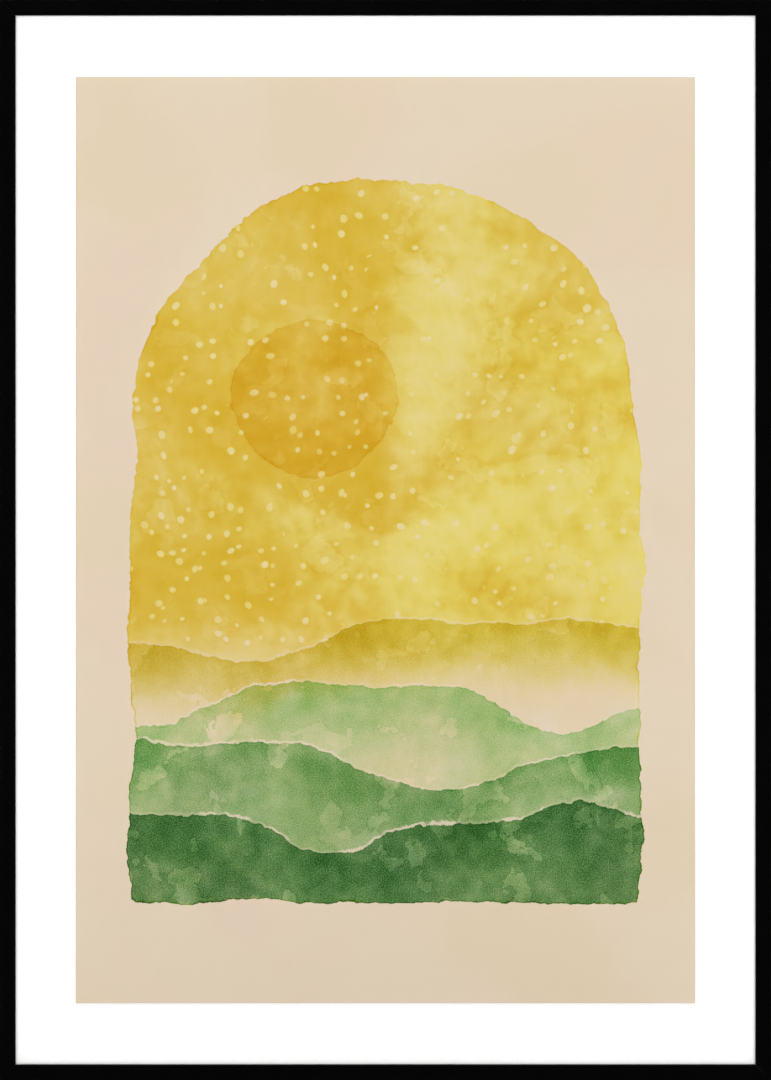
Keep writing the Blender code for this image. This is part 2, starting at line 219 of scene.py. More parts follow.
def choose(piece: Piece, part: Part, test: Callable[..., bool]) -> int:
    """Selects what passes a test, in edit mode.

    Args:
        piece: the object being edited.
        part: what to select.
        test: takes a point, edge or face of the edit mesh.

    Returns:
        How many were selected.
    """
    bpy.ops.mesh.select_mode(type=part.value)
    bpy.ops.mesh.select_all(action="DESELECT")
    mesh = bmesh.from_edit_mesh(piece.data)
    items = {Part.POINTS: mesh.verts, Part.EDGES: mesh.edges, Part.FACES: mesh.faces}[part]
    chosen = [item for item in items if test(item)]
    for item in chosen:
        item.select_set(True)
    mesh.select_flush_mode()
    bmesh.update_edit_mesh(piece.data)
    return len(chosen)


def near(value: float, target: float) -> bool:
    """True if two lengths are the same."""
    return abs(value - target) < SAME


def lies_along(edge: bmesh.types.BMEdge, axis: int) -> bool:
    """True if an edge runs along the axis of this number."""
    run = edge.verts[1].co - edge.verts[0].co
    return abs(run[axis]) > STRAIGHT * run.length


def upright_corner(edge: bmesh.types.BMEdge) -> bool:
    """True if an edge runs from front to back, as at the corner of a sheet."""
    return lies_along(edge, Y)


def edges_at(*corners: tuple[float, float]) -> Callable[[bmesh.types.BMEdge], bool]:
    """A test for edges along X that lie at one of these places, each given as Y and Z."""
    return lambda edge: lies_along(edge, X) and any(
        all(near(end.co.y, y) and near(end.co.z, z) for end in edge.verts) for y, z in corners
    )


def faces_at(
    axis: int, place: float, other: int = X, past: float = -math.inf
) -> Callable[[bmesh.types.BMFace], bool]:
    """A test for faces whose middle is at a place on an axis, and past one on another axis."""

    def test(face: bmesh.types.BMFace) -> bool:
        """True if a face is there."""
        middle = face.calc_center_median()
        return near(middle[axis], place) and middle[other] > past

    return test


def settle(piece: Piece, matrix: Matrix | None = None) -> None:
    """Moves a piece by a matrix, if one is given, and puts its place into its mesh."""
    if matrix is not None:
        piece.matrix_world = matrix @ piece.matrix_world
    pick(piece)
    bpy.ops.object.transform_apply(location=True, rotation=True, scale=True)


def block(name: str, low: Point, high: Point) -> Piece:
    """Adds a box between two corners, as the start of a piece."""
    low, high = Vector(low), Vector(high)
    pick()
    bpy.ops.mesh.primitive_cube_add(size=1, location=(low + high) / 2)
    piece = bpy.context.active_object
    piece.name = piece.data.name = name
    piece.scale = high - low
    settle(piece)
    return piece


def extrude(x: float = 0.0, y: float = 0.0, z: float = 0.0) -> None:
    """Pushes the selected faces out by this much, in edit mode."""
    bpy.ops.mesh.extrude_region_move(TRANSFORM_OT_translate={"value": (x, y, z)})


def widen(share_x: float, share_z: float, centre: Point) -> None:
    """Resizes what is selected in X and Z about a centre, in edit mode."""
    bpy.ops.transform.resize(value=(share_x, 1, share_z), center_override=centre)


def turned(name: str, profile: Profile, sides: int) -> Piece:
    """Models a turned piece about Y from a disc, which is pushed out and resized step by step.

    Args:
        name: the piece's name.
        profile: (radius, depth) from one end to the other.
        sides: number of sides round it.

    Returns:
        The piece, closed at both ends.
    """
    radius, depth = profile[0]
    pick()
    bpy.ops.mesh.primitive_circle_add(
        vertices=sides, radius=radius, fill_type="NGON",
        location=(0, depth, 0), rotation=(math.pi / 2, 0, 0),
    )
    piece = bpy.context.active_object
    piece.name = piece.data.name = name
    settle(piece)
    with editing(piece):
        for next_radius, next_depth in profile[1:]:
            extrude(y=next_depth - depth)
            widen(next_radius / radius, next_radius / radius, (0, next_depth, 0))
            radius, depth = next_radius, next_depth
    return piece


def round_off(piece: Piece, width: float, steps: int, test: Callable[..., bool]) -> None:
    """Rounds the edges of a piece that pass a test, in edit mode."""
    if choose(piece, Part.EDGES, test):
        bpy.ops.mesh.bevel(offset=width, segments=steps, profile=0.5, affect="EDGES")


def cut_across(axis: int, *places: float) -> None:
    """Adds a loop of edges across an axis at each of these places, in edit mode."""
    way = Vector()
    way[axis] = 1.0
    for place in places:
        bpy.ops.mesh.select_all(action="SELECT")
        bpy.ops.mesh.bisect(plane_co=way * place, plane_no=way)


def cut_off(place: Point, normal: Point) -> None:
    """Removes what lies beyond a plane and closes the cut, in edit mode."""
    bpy.ops.mesh.select_all(action="SELECT")
    bpy.ops.mesh.bisect(plane_co=place, plane_no=normal, use_fill=True, clear_outer=True)


def applied(piece: Piece, kind: str, **settings: object) -> None:
    """Adds a modifier to a piece with these settings and applies it."""
    modifier = piece.modifiers.new(kind.lower(), kind)
    for name, value in settings.items():
        setattr(modifier, name, value)
    pick(piece)
    bpy.ops.object.modifier_apply(modifier=modifier.name)


def discard(piece: Piece) -> None:
    """Removes an object that was only a cutter, or a pattern for others."""
    pick(piece)
    bpy.ops.object.delete()


def carve(piece: Piece, cutter: Piece) -> None:
    """Cuts one object out of a piece and removes the cutter."""
    applied(piece, "BOOLEAN", operation="DIFFERENCE", object=cutter, solver="EXACT")
    if not piece.data.polygons:
        raise RuntimeError(f"nothing was left of {piece.name} after a cut")
    discard(cutter)


def drill(piece: Piece, profile: Profile, sides: int, x: float = 0.0, z: float = 0.0) -> None:
    """Cuts a turned shape about Y out of a piece, at this X and Z."""
    bit = turned("drill", profile, sides)
    settle(bit, Matrix.Translation((x, 0, z)))
    carve(piece, bit)


def ease(piece: Piece, width: float) -> None:
    """Takes the sharpness off every edge of a piece."""
    applied(piece, "BEVEL", width=width, segments=2, limit_method="ANGLE", angle_limit=SHARP_ANGLE)


def roughen(piece: Piece, size: float, height: float, direction: str = "NORMAL") -> None:
    """Moves the surface of a piece in and out by soft noise.

    Args:
        piece: the object to change.
        size: how far apart its hollows are.
        height: the distance between hollow and crest.
        direction: the way that points move.
    """
    texture = bpy.data.textures.new("unevenness", "CLOUDS")
    texture.noise_scale = size
    texture.noise_depth = 2
    applied(piece, "DISPLACE", texture=texture, strength=height, mid_level=0.5, direction=direction)
    bpy.data.textures.remove(texture)


def copied(piece: Piece, name: str) -> Piece:
    """Copies a piece with a mesh of its own."""
    pick(piece)
    bpy.ops.object.duplicate(linked=False)
    twin = bpy.context.active_object
    twin.name = twin.data.name = name
    return twin


def complete(
    piece: Piece, node: str, finish: Material, place: Matrix | None = None
) -> None:
    """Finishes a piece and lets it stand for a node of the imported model.

    Args:
        piece: the object.
        node: the node that it stands for, whose body it rides on.
        finish: its material.
        place: where it goes, if it isn't there yet.
    """
    settle(piece, place)
    bpy.ops.object.shade_smooth_by_angle(angle=SHARP_ANGLE)
    applied(piece, "WEIGHTED_NORMAL", keep_sharp=True, weight=100)
    piece.data.materials.clear()
    piece.data.materials.append(finish)
    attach(piece, frame["nodes"][node]["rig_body"])
    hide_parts(node)
    log.info("%s stands for %s, %d faces", piece.name, node, len(piece.data.polygons))


# Recipes for materials


class Signal:
    """What a node gives out. Arithmetic on it adds nodes, so that a finish reads as formulas."""

    MEASURES = ("DOT_PRODUCT", "DISTANCE", "LENGTH")

    def __init__(self, graph: "Graph", socket: bpy.types.NodeSocket) -> None:
        """Holds a socket of a graph."""
        self.graph = graph
        self.socket = socket

    def sum(self, operation: str, *others: "Value") -> "Signal":
        """Works this out with other values, part by part if this is a place or a colour."""
        vector = self.socket.type != "VALUE"
        kind = "ShaderNodeVectorMath" if vector else "ShaderNodeMath"
        node = self.graph.node(kind, operation=operation)
        for socket, value in zip(node.inputs, (self, *others)):
            self.graph.feed(socket, value)
        output = "Vector" if vector and operation not in self.MEASURES else "Value"
        return Signal(self.graph, node.outputs[output])

    # Sums by name, each with the other values that it needs
    __add__ = partialmethod(sum, "ADD")
    __sub__ = partialmethod(sum, "SUBTRACT")
    __mul__ = partialmethod(sum, "MULTIPLY")
    __truediv__ = partialmethod(sum, "DIVIDE")
    __abs__ = partialmethod(sum, "ABSOLUTE")
    at_least = partialmethod(sum, "MAXIMUM")
    at_most = partialmethod(sum, "MINIMUM")
    above = partialmethod(sum, "GREATER_THAN")
    sine = partialmethod(sum, "SINE")
    dot = partialmethod(sum, "DOT_PRODUCT")
    distance = partialmethod(sum, "DISTANCE")
    length = partialmethod(sum, "LENGTH")

    def __rsub__(self, other: float) -> "Signal":
        """Takes this away from a number."""
        return self * -1.0 + other

    def __pow__(self, power: "Value") -> "Signal":
        """This colour to a power, as light comes through that many layers of it."""
        return self.graph.give("ShaderNodeGamma", {"Color": self, "Gamma": power})

    def clamped(self) -> "Signal":
        """This, kept from 0 to 1."""
        return self.at_least(0.0).at_most(1.0)

    def span(self, low: "Value", high: "Value", start: "Value" = 0.0, end: "Value" = 1.0) -> "Signal":
        """Turns this, between two limits, smoothly into a value between a start and an end."""
        limits = {"Value": self, "From Min": low, "From Max": high, "To Min": start, "To Max": end}
        return self.graph.give("ShaderNodeMapRange", limits, interpolation_type="SMOOTHSTEP")

    def beside(self, other: "Signal") -> "Signal":
        """A place in the plane, with this as its X and another signal as its Y."""
        return self.graph.give("ShaderNodeCombineXYZ", {"X": self, "Y": other})

    def split(self) -> list["Signal"]:
        """The three parts of a place or a colour."""
        node = self.graph.node("ShaderNodeSeparateXYZ", {"Vector": self})
        return [Signal(self.graph, part) for part in node.outputs]

    def blend(self, first: "Value", second: "Value") -> "Signal":
        """Blends two colours, with this as the share of the second."""
        inputs = {"Factor_Float": self, "A_Color": first, "B_Color": second}
        return self.graph.give("ShaderNodeMix", inputs, "Result_Color", data_type="RGBA")

    def through(self, light: "Value") -> "Signal":
        """This light or colour as seen through another one, which is the two multiplied."""
        inputs = {"Factor_Float": 1.0, "A_Color": self, "B_Color": light}
        settings = {"data_type": "RGBA", "blend_type": "MULTIPLY"}
        return self.graph.give("ShaderNodeMix", inputs, "Result_Color", **settings)

    def noise(
        self, size: float, detail: float, stretch: Point | None = None,
        flat: bool = False, output: str = "Fac",
    ) -> "Signal":
        """Soft noise from 0 to 1 at this place.

        Args:
            size: how far apart its patches are, in millimetres.
            detail: how many finer layers it has.
            stretch: how much longer the patches are along each axis, if they are.
            flat: True for noise in X and Y only.
            output: Fac for a value, Color for three values at once.

        Returns:
            The noise.
        """
        point = self / stretch if stretch else self
        inputs = {"Vector": point, "Scale": 1 / size, "Detail": detail}
        dimensions = "2D" if flat else "3D"
        return self.graph.give("ShaderNodeTexNoise", inputs, output, noise_dimensions=dimensions)

    def bump(self, strength: float, distance: float) -> "Signal":
        """A normal that is bent by this height."""
        inputs = {"Height": self, "Strength": strength, "Distance": distance}
        return self.graph.give("ShaderNodeBump", inputs)


Value = float | tuple | Signal


class Graph:
    """Adds nodes to a tree, laid out in columns, and joins them."""

    COLUMN = 190
    ROW = 240
    ROWS = 6

    def __init__(self, tree: bpy.types.NodeTree) -> None:
        """Starts on a tree, which may already hold nodes."""
        self.tree = tree
        self.count = 0

    def node(self, kind: str, inputs: dict[str, Value] | None = None, **settings: object) -> bpy.types.Node:
        """Adds a node.

        Args:
            kind: the node's type.
            inputs: values or signals by the input's name or identifier.
            settings: the node's own properties.

        Returns:
            The new node.
        """
        made = self.tree.nodes.new(kind)
        made.location = (self.count // self.ROWS * self.COLUMN, -(self.count % self.ROWS) * self.ROW)
        self.count += 1
        for name, value in settings.items():
            setattr(made, name, value)
        for name, value in (inputs or {}).items():
            self.feed(self.socket(made.inputs, name), value)
        return made

    def give(
        self, kind: str, inputs: dict[str, Value] | None = None, output: str | int = 0, **settings: object
    ) -> Signal:
        """Adds a node and returns one of its outputs, by default the first."""
        outputs = self.node(kind, inputs, **settings).outputs
        return Signal(self, outputs[output] if isinstance(output, int) else self.socket(outputs, output))

    @staticmethod
    def socket(sockets: bpy.types.NodeInputs, name: str) -> bpy.types.NodeSocket:
        """Finds a socket by its identifier, or else by its name."""
        exact = [socket for socket in sockets if socket.identifier == name]
        return exact[0] if exact else sockets[name]

    def feed(self, socket: bpy.types.NodeSocket, value: Value) -> None:
        """Joins a signal to a socket, or sets the socket's value."""
        if isinstance(value, Signal):
            self.tree.links.new(value.socket, socket)
        elif socket.type == "RGBA":
            socket.default_value = (*value[:3], 1.0)
        elif socket.type == "VECTOR" and isinstance(value, (int, float)):
            socket.default_value = (value,) * 3
        else:
            socket.default_value = value

    def normal(self) -> Signal:
        """The way that the surface faces."""
        return self.give("ShaderNodeNewGeometry", output="Normal")

    def millimetres(self, centre: Vector = Vector(), turn: Point = ORIGIN) -> Signal:
        """The place on the object in millimetres from a centre, turned about it."""
        place = self.give("ShaderNodeTexCoord", output="Object")
        inputs = {"Vector": place - tuple(centre), "Rotation": turn, "Scale": (1 / MM,) * 3}
        return self.give("ShaderNodeMapping", inputs)


class Coat(Graph):
    """A material being made: a graph on its tree and the inputs of its shader."""

    SHADER_PLACE = (2600, 0)
    OUTPUT_PLACE = (2900, 0)

    def __init__(self, name: str) -> None:
        """Starts a material."""
        self.material = bpy.data.materials.new(name)
        self.material.use_nodes = True
        super().__init__(self.material.node_tree)
        self.shader = self.tree.nodes["Principled BSDF"]
        self.shader.location = self.SHADER_PLACE
        self.tree.nodes["Material Output"].location = self.OUTPUT_PLACE

    @cached_property
    def point(self) -> Signal:
        """The place in millimetres from the middle of the frame's face."""
        return self.millimetres(CENTRE)

    def surface(self, inputs: dict[str, Value]) -> Material:
        """Sets the shader's inputs by name and returns the material."""
        for name, value in inputs.items():
            self.feed(self.shader.inputs[name], value)
        return self.material


Outputs = dict[str, Signal]
Recipe = Callable[..., Outputs]


class Effect:
    """A shader node group, built when it is first used and placed by each call."""

    INPUT_KINDS = {1: "NodeSocketFloat", 3: "NodeSocketVector", 4: "NodeSocketColor"}
    OUTPUT_KINDS = {"VALUE": "NodeSocketFloat", "RGBA": "NodeSocketColor", "VECTOR": "NodeSocketVector"}

    def __init__(self, label: str, usual: dict[str, Value], recipe: Recipe) -> None:
        """Keeps the group's name, the usual values of its inputs and the recipe for its outputs."""
        self.label = label
        self.usual = usual
        self.recipe = recipe

    @staticmethod
    def spoken(name: str) -> str:
        """A socket's name from a word of the recipe."""
        return name.replace("_", " ").capitalize()

    @cached_property
    def group(self) -> bpy.types.NodeTree:
        """The node group, with its named inputs and outputs."""
        tree = bpy.data.node_groups.new(self.label, "ShaderNodeTree")
        for name, value in self.usual.items():
            kind = self.INPUT_KINDS[len(value) if isinstance(value, tuple) else 1]
            socket = tree.interface.new_socket(self.spoken(name), in_out="INPUT", socket_type=kind)
            socket.default_value = value
        graph = Graph(tree)
        sockets = graph.node("NodeGroupInput").outputs
        given = {name: Signal(graph, sockets[self.spoken(name)]) for name in self.usual}
        results = {self.spoken(name): result for name, result in self.recipe(**given).items()}
        for name, result in results.items():
            kind = self.OUTPUT_KINDS[result.socket.type]
            tree.interface.new_socket(name, in_out="OUTPUT", socket_type=kind)
        graph.node("NodeGroupOutput", results)
        return tree

    def __call__(self, **inputs: Value) -> Outputs:
        """Places the group in the graph of these inputs, and returns its outputs by name."""
        graph = next(value.graph for value in inputs.values() if isinstance(value, Signal))
        placed = graph.node("ShaderNodeGroup", node_tree=self.group)
        for name, value in inputs.items():
            graph.feed(placed.inputs[self.spoken(name)], value)
        return {socket.name.lower(): Signal(graph, socket) for socket in placed.outputs}


def shared(label: str, **usual: Value) -> Callable[[Recipe], Effect]:
    """Makes a recipe into an effect, from its name and the usual value of each input."""
    return lambda recipe: Effect(label, usual, recipe)


@shared("Edge wear", point=ORIGIN, radius=0.4 * MM, patch=4.0)
def edge_wear(point: Signal, radius: Signal, patch: Signal) -> Outputs:
    """A mask of the edges that hands and tools have rubbed, broken up by noise."""
    rounded = point.graph.give("ShaderNodeBevel", {"Radius": radius}, samples=4)
    edge = rounded.dot(point.graph.normal()).span(0.995, 0.9)
    patches = (point / patch).noise(1.0, 3.0).span(0.42, 0.62)
    return {"mask": edge * patches}


@shared("Wood grain", point=ORIGIN)
def wood_grain(point: Signal) -> Outputs:
    """Pores and soft bands that run along X, for painted wood."""
    pores = point.noise(0.35, 2.0, (34.0, 1.0, 1.0)).span(0.56, 0.7)
    return {"pores": pores, "bands": point.noise(2.4, 3.0, (60.0, 1.0, 1.0))}


@shared("Brushed metal", point=ORIGIN)
def brushed(point: Signal) -> Outputs:
    """Fine drawing lines along X and a broad unevenness, for rolled or drawn metal."""
    return {"lines": point.noise(0.07, 2.0, (60.0, 1.0, 1.0)), "stains": point.noise(2.6, 4.0)}


@shared("Fibres", point=ORIGIN, size=1.0)
def fibres(point: Signal, size: Signal) -> Outputs:
    """The tooth, flecks and soft clouds of paper or board that lies across Y."""
    scaled = point / size
    lengthwise = scaled.noise(0.5, 2.0, (6.0, 1.0, 1.2))
    crosswise = scaled.noise(0.5, 2.0, (1.2, 1.0, 6.0))
    flecks = lengthwise.at_least(crosswise).span(0.6, 0.76)
    return {"tooth": scaled.noise(0.55, 3.0), "flecks": flecks, "clouds": scaled.noise(38.0, 3.0)}


@shared("Dust", point=ORIGIN, amount=0.3)
def dust(point: Signal, amount: Signal) -> Outputs:
    """A mask of dust, thicker on what faces up and broken into specks."""
    facing_up = point.graph.normal().dot((0.0, 0.0, 1.0)).span(0.1, 0.9, 0.25, 1.0)
    specks = point.noise(0.6, 1.0).span(0.7, 0.78)
    layers = point.noise(24.0, 4.0) * 0.6 + specks
    return {"mask": layers.clamped() * facing_up * amount}


@shared(
    "Paint wash", under=(*WHITE, 1.0), pigment=(0.5, 0.5, 0.5, 1.0), inside=0.0, load=1.0,
    pool=0.4, pool_width=1.3, bloom=0.5, spread=0.4, tooth=0.5,
)
def paint_wash(
    under: Signal, pigment: Signal, inside: Signal, load: Signal, pool: Signal, pool_width: Signal,
    bloom: Signal, spread: Signal, tooth: Signal,
) -> Outputs:
    """One transparent wash over what is under it, pooled along its edge and grained by the paper."""
    mask = inside.span(-0.15, 0.3)
    pooled = inside.span(0.0, pool_width, 1.0, 0.0) * pool * bloom.span(0.1, 0.9, 0.35, 1.6)
    dried = (bloom - 0.5) * spread + 1.0
    grained = tooth * 0.7 + 0.65
    thickness = (load * dried * grained + pooled) * mask
    return {"colour": under.through(pigment ** thickness)}


@shared("Ridge line", point=ORIGIN, base=0.0, rise=10.0, length=50.0, phase=0.0)
def ridge_line(point: Signal, base: Signal, rise: Signal, length: Signal, phase: Signal) -> Outputs:
    """How far a place lies under a rolling line, in millimetres."""
    x, y, _ = point.split()
    angle = x / length + phase
    ripple = (angle * 2.3 + 0.8).sine()
    height = (ripple * 0.35 + angle.sine()) * rise + base
    return {"under": height - y}


@shared("Reserved spots", point=ORIGIN, spacing=13.0, drift=0.5)
def reserved_spots(point: Signal, spacing: Signal, drift: Signal) -> Outputs:
    """Round spots of bare paper, scattered in drifts, each with a faint dark ring."""
    inputs = {"Vector": point / spacing, "Scale": 1.0}
    cells = point.graph.node("ShaderNodeTexVoronoi", inputs, voronoi_dimensions="2D").outputs
    distance, colour = (Signal(point.graph, cells[name]) for name in ("Distance", "Color"))
    size, rank, strength = colour.split()
    rim = distance * spacing - (size * 1.1 + 1.5)
    clearness = (strength * 0.4 + 0.6) * rank.above(drift)
    spot = rim.span(-0.7, 0.35, 1.0, 0.0) * clearness
    ring = (rim.span(0.2, 1.1, 1.0, 0.0) - spot).clamped() * clearness
    return {"spot": spot, "ring": ring}


@shared("Rub ring", point=ORIGIN, pivot=ORIGIN, radius=15.0, break_up=0.5)
def rub_ring(point: Signal, pivot: Signal, radius: Signal, break_up: Signal) -> Outputs:
    """A worn arc at a radius round a pivot, where a clip has been turned over the board."""
    off = abs(point.distance(pivot) - radius)
    return {"mask": off.span(0.1, 0.75, 1.0, 0.0) * break_up}


# Finishes


def tint(red: int, green: int, blue: int) -> Point:
    """A display colour, from 0 to 255, as linear light."""
    shares = [channel / 255 for channel in (red, green, blue)]
    return tuple(s / 12.92 if s <= 0.04045 else ((s + 0.055) / 1.055) ** 2.4 for s in shares)


class Grain(Enum):
    """The way that a piece's grain runs. Its value turns the pattern's X that way."""

    ALONG_X = (0.0, 0.0, 0.0)
    ALONG_Z = (0.0, math.pi / 2, 0.0)


@dataclass(frozen=True)
class Lacquer:
    """Satin black lacquer over fine-grained wood."""

    grain: Grain
    black: Point = (0.0005, 0.0005, 0.00055)
    worn: Point = (0.007, 0.0065, 0.006)
    dust_colour: Point = (0.25, 0.24, 0.22)
    dust_amount: float = 0.02
    worn_share: float = 0.5
    wear_radius: float = 0.5 * MM
    wear_patch: float = 9.0
    roughness: float = 0.36
    relief: float = 0.03 * MM
    ior: float = 1.46
    specular: float = 0.35

    def make(self) -> Material:
        """Builds the material."""
        coat = Coat(f"black_lacquer_{self.grain.name.lower()}")
        point = coat.millimetres(CENTRE, self.grain.value)
        grain = wood_grain(point=point)
        wear = edge_wear(point=point, radius=self.wear_radius, patch=self.wear_patch)["mask"]
        dusty = dust(point=point, amount=self.dust_amount)["mask"]
        colour = (wear * self.worn_share).blend(self.black, self.worn)
        rough = (grain["bands"] - 0.5) * 0.16 + grain["pores"] * 0.12 + dusty * 2.0 + self.roughness
        height = grain["bands"] * 0.5 - grain["pores"]
        return coat.surface({
            "Base Color": dusty.blend(colour, self.dust_colour),
            "Roughness": rough.clamped(),
            "Normal": height.bump(0.3, self.relief),
            "IOR": self.ior,
            "Specular IOR Level": self.specular,
        })


@dataclass(frozen=True)
class Acrylic:
    """Clear glazing that lets the light of the studio through without a shadow."""

    ior: float = 1.49

    def make(self) -> Material:
        """Builds the material."""
        coat = Coat("clear_acrylic")
        coat.surface({
            "Base Color": WHITE, "Roughness": 0.0, "IOR": self.ior, "Transmission Weight": 1.0,
        })
        path = coat.node("ShaderNodeLightPath").outputs
        shadow, diffuse = (Signal(coat, path[name]) for name in ("Is Shadow Ray", "Is Diffuse Ray"))
        shaders = coat.node("ShaderNodeMixShader")
        coat.feed(shaders.inputs[0], shadow.at_least(diffuse))
        coat.feed(shaders.inputs[1], Signal(coat, coat.shader.outputs[0]))
        coat.feed(shaders.inputs[2], coat.give("ShaderNodeBsdfTransparent"))
        output = coat.tree.nodes["Material Output"].inputs["Surface"]
        coat.feed(output, Signal(coat, shaders.outputs[0]))
        return coat.material


@dataclass(frozen=True)
class Board:
    """Mat board, card or hardboard: fibres, flecks and soft clouds in one colour."""

    name: str
    colour: Point
    fleck: Point
    fleck_share: float
    cloud_share: float
    fibre_size: float
    roughness: float
    relief: float

    def body(self, coat: Coat) -> tuple[Signal, Signal]:
        """Adds a board's colour and the height of its fibres to its coat."""
        fibre = fibres(point=coat.point, size=self.fibre_size)
        plain = fibre["tooth"].span(0.3, 0.7, 0.9, 1.1).through(self.colour)
        colour = (fibre["flecks"] * self.fleck_share).blend(plain, self.fleck)
        clouds = fibre["clouds"].span(0.3, 0.7, 1.0 - self.cloud_share, 1.0)
        return colour.through(clouds), fibre["flecks"] * 0.4 + fibre["tooth"]

    def make(self) -> Material:
        """Builds the material."""
        coat = Coat(self.name)
        colour, height = self.body(coat)
        return coat.surface({
            "Base Color": colour, "Roughness": self.roughness, "Normal": height.bump(0.5, self.relief),
        })


@dataclass(frozen=True)
class Hardboard(Board):
    """Brown hardboard with a screen's print on its rough side and rub marks from the turn clips."""

    pivots: tuple[Point, ...]
    screen_pitch: float = 1.4
    screen_height: float = 0.35
    rub_radius: float = 15.6
    rub_colour: Point = (0.36, 0.24, 0.14)
    rub_polish: float = 0.15
    dust_amount: float = 0.06
    dust_colour: Point = (0.5, 0.47, 0.42)

    def make(self) -> Material:
        """Builds the material."""
        coat = Coat(self.name)
        colour, height = self.body(coat)
        across, _, along = (coat.point * (math.tau / self.screen_pitch)).sine().split()
        height = across * along * self.screen_height + height
        broken = coat.point.noise(3.2, 3.0).span(0.35, 0.7, 0.15, 0.8)
        arc = {"point": abs(coat.point), "radius": self.rub_radius, "break_up": broken}
        arcs = [rub_ring(pivot=pivot, **arc)["mask"] for pivot in self.pivots]
        rubbed = reduce(Signal.at_least, arcs)
        dusty = dust(point=coat.point, amount=self.dust_amount)["mask"]
        return coat.surface({
            "Base Color": dusty.blend(rubbed.blend(colour, self.rub_colour), self.dust_colour),
            "Roughness": self.roughness - rubbed * self.rub_polish,
            "Normal": height.bump(0.6, self.relief),
        })


@dataclass(frozen=True)
class Metal:
    """Plated or bare steel with drawing lines, stains and brighter rubbed edges."""

    name: str
    colour: Point
    stain: Point
    bright: Point
    roughness: float
    stain_share: float = 0.6
    wear_radius: float = 0.25 * MM
    wear_patch: float = 2.0
    relief: float = 0.01 * MM

    def make(self) -> Material:
        """Builds the material."""
        coat = Coat(self.name)
        metal = brushed(point=coat.point)
        wear = edge_wear(point=coat.point, radius=self.wear_radius, patch=self.wear_patch)["mask"]
        stained = metal["stains"].span(0.42, 0.72, 0.0, self.stain_share)
        rough = (metal["lines"] - 0.5) * 0.22 + stained * 0.18 - wear * 0.12 + self.roughness
        return coat.surface({
            "Base Color": wear.blend(stained.blend(self.colour, self.stain), self.bright),
            "Roughness": rough,
            "Normal": metal["lines"].bump(0.25, self.relief),
            "Metallic": 1.0,
        })


@dataclass(frozen=True)
class Felt:
    """Pressed grey felt with loose fibres."""

    dark: Point = (0.045, 0.045, 0.048)
    light: Point = (0.19, 0.19, 0.195)
    strand: float = 0.3
    strand_stretch: float = 3.0
    relief: float = 0.15 * MM
    sheen: float = 0.4
    sheen_roughness: float = 0.5

    def make(self) -> Material:
        """Builds the material."""
        coat = Coat("grey_felt")
        ways = ((self.strand_stretch, 1.0, 1.0), (1.0, 1.0, self.strand_stretch))
        along, across = (coat.point.noise(self.strand, 3.0, way) for way in ways)
        strands = along.at_least(across)
        return coat.surface({
            "Base Color": strands.span(0.4, 0.75).blend(self.dark, self.light),
            "Roughness": 1.0,
            "Normal": strands.bump(0.8, self.relief),
            "Sheen Weight": self.sheen,
            "Sheen Roughness": self.sheen_roughness,
        })


@dataclass(frozen=True)
class Hill:
    """One hill of the painting. Lengths are in millimetres from the middle of the print."""

    base: float
    rise: float
    length: float
    phase: float
    colour: Point
    fade: float
    least: float
    gap: float


@dataclass(frozen=True)
class Ground:
    """What every wash of the painting is laid on: the paper, its places and how it dries."""

    paper: Signal
    tooth: Signal
    drawn: Signal
    broad: Signal
    arch: Signal
    spot: Signal
    bare: Signal
    ring: Signal


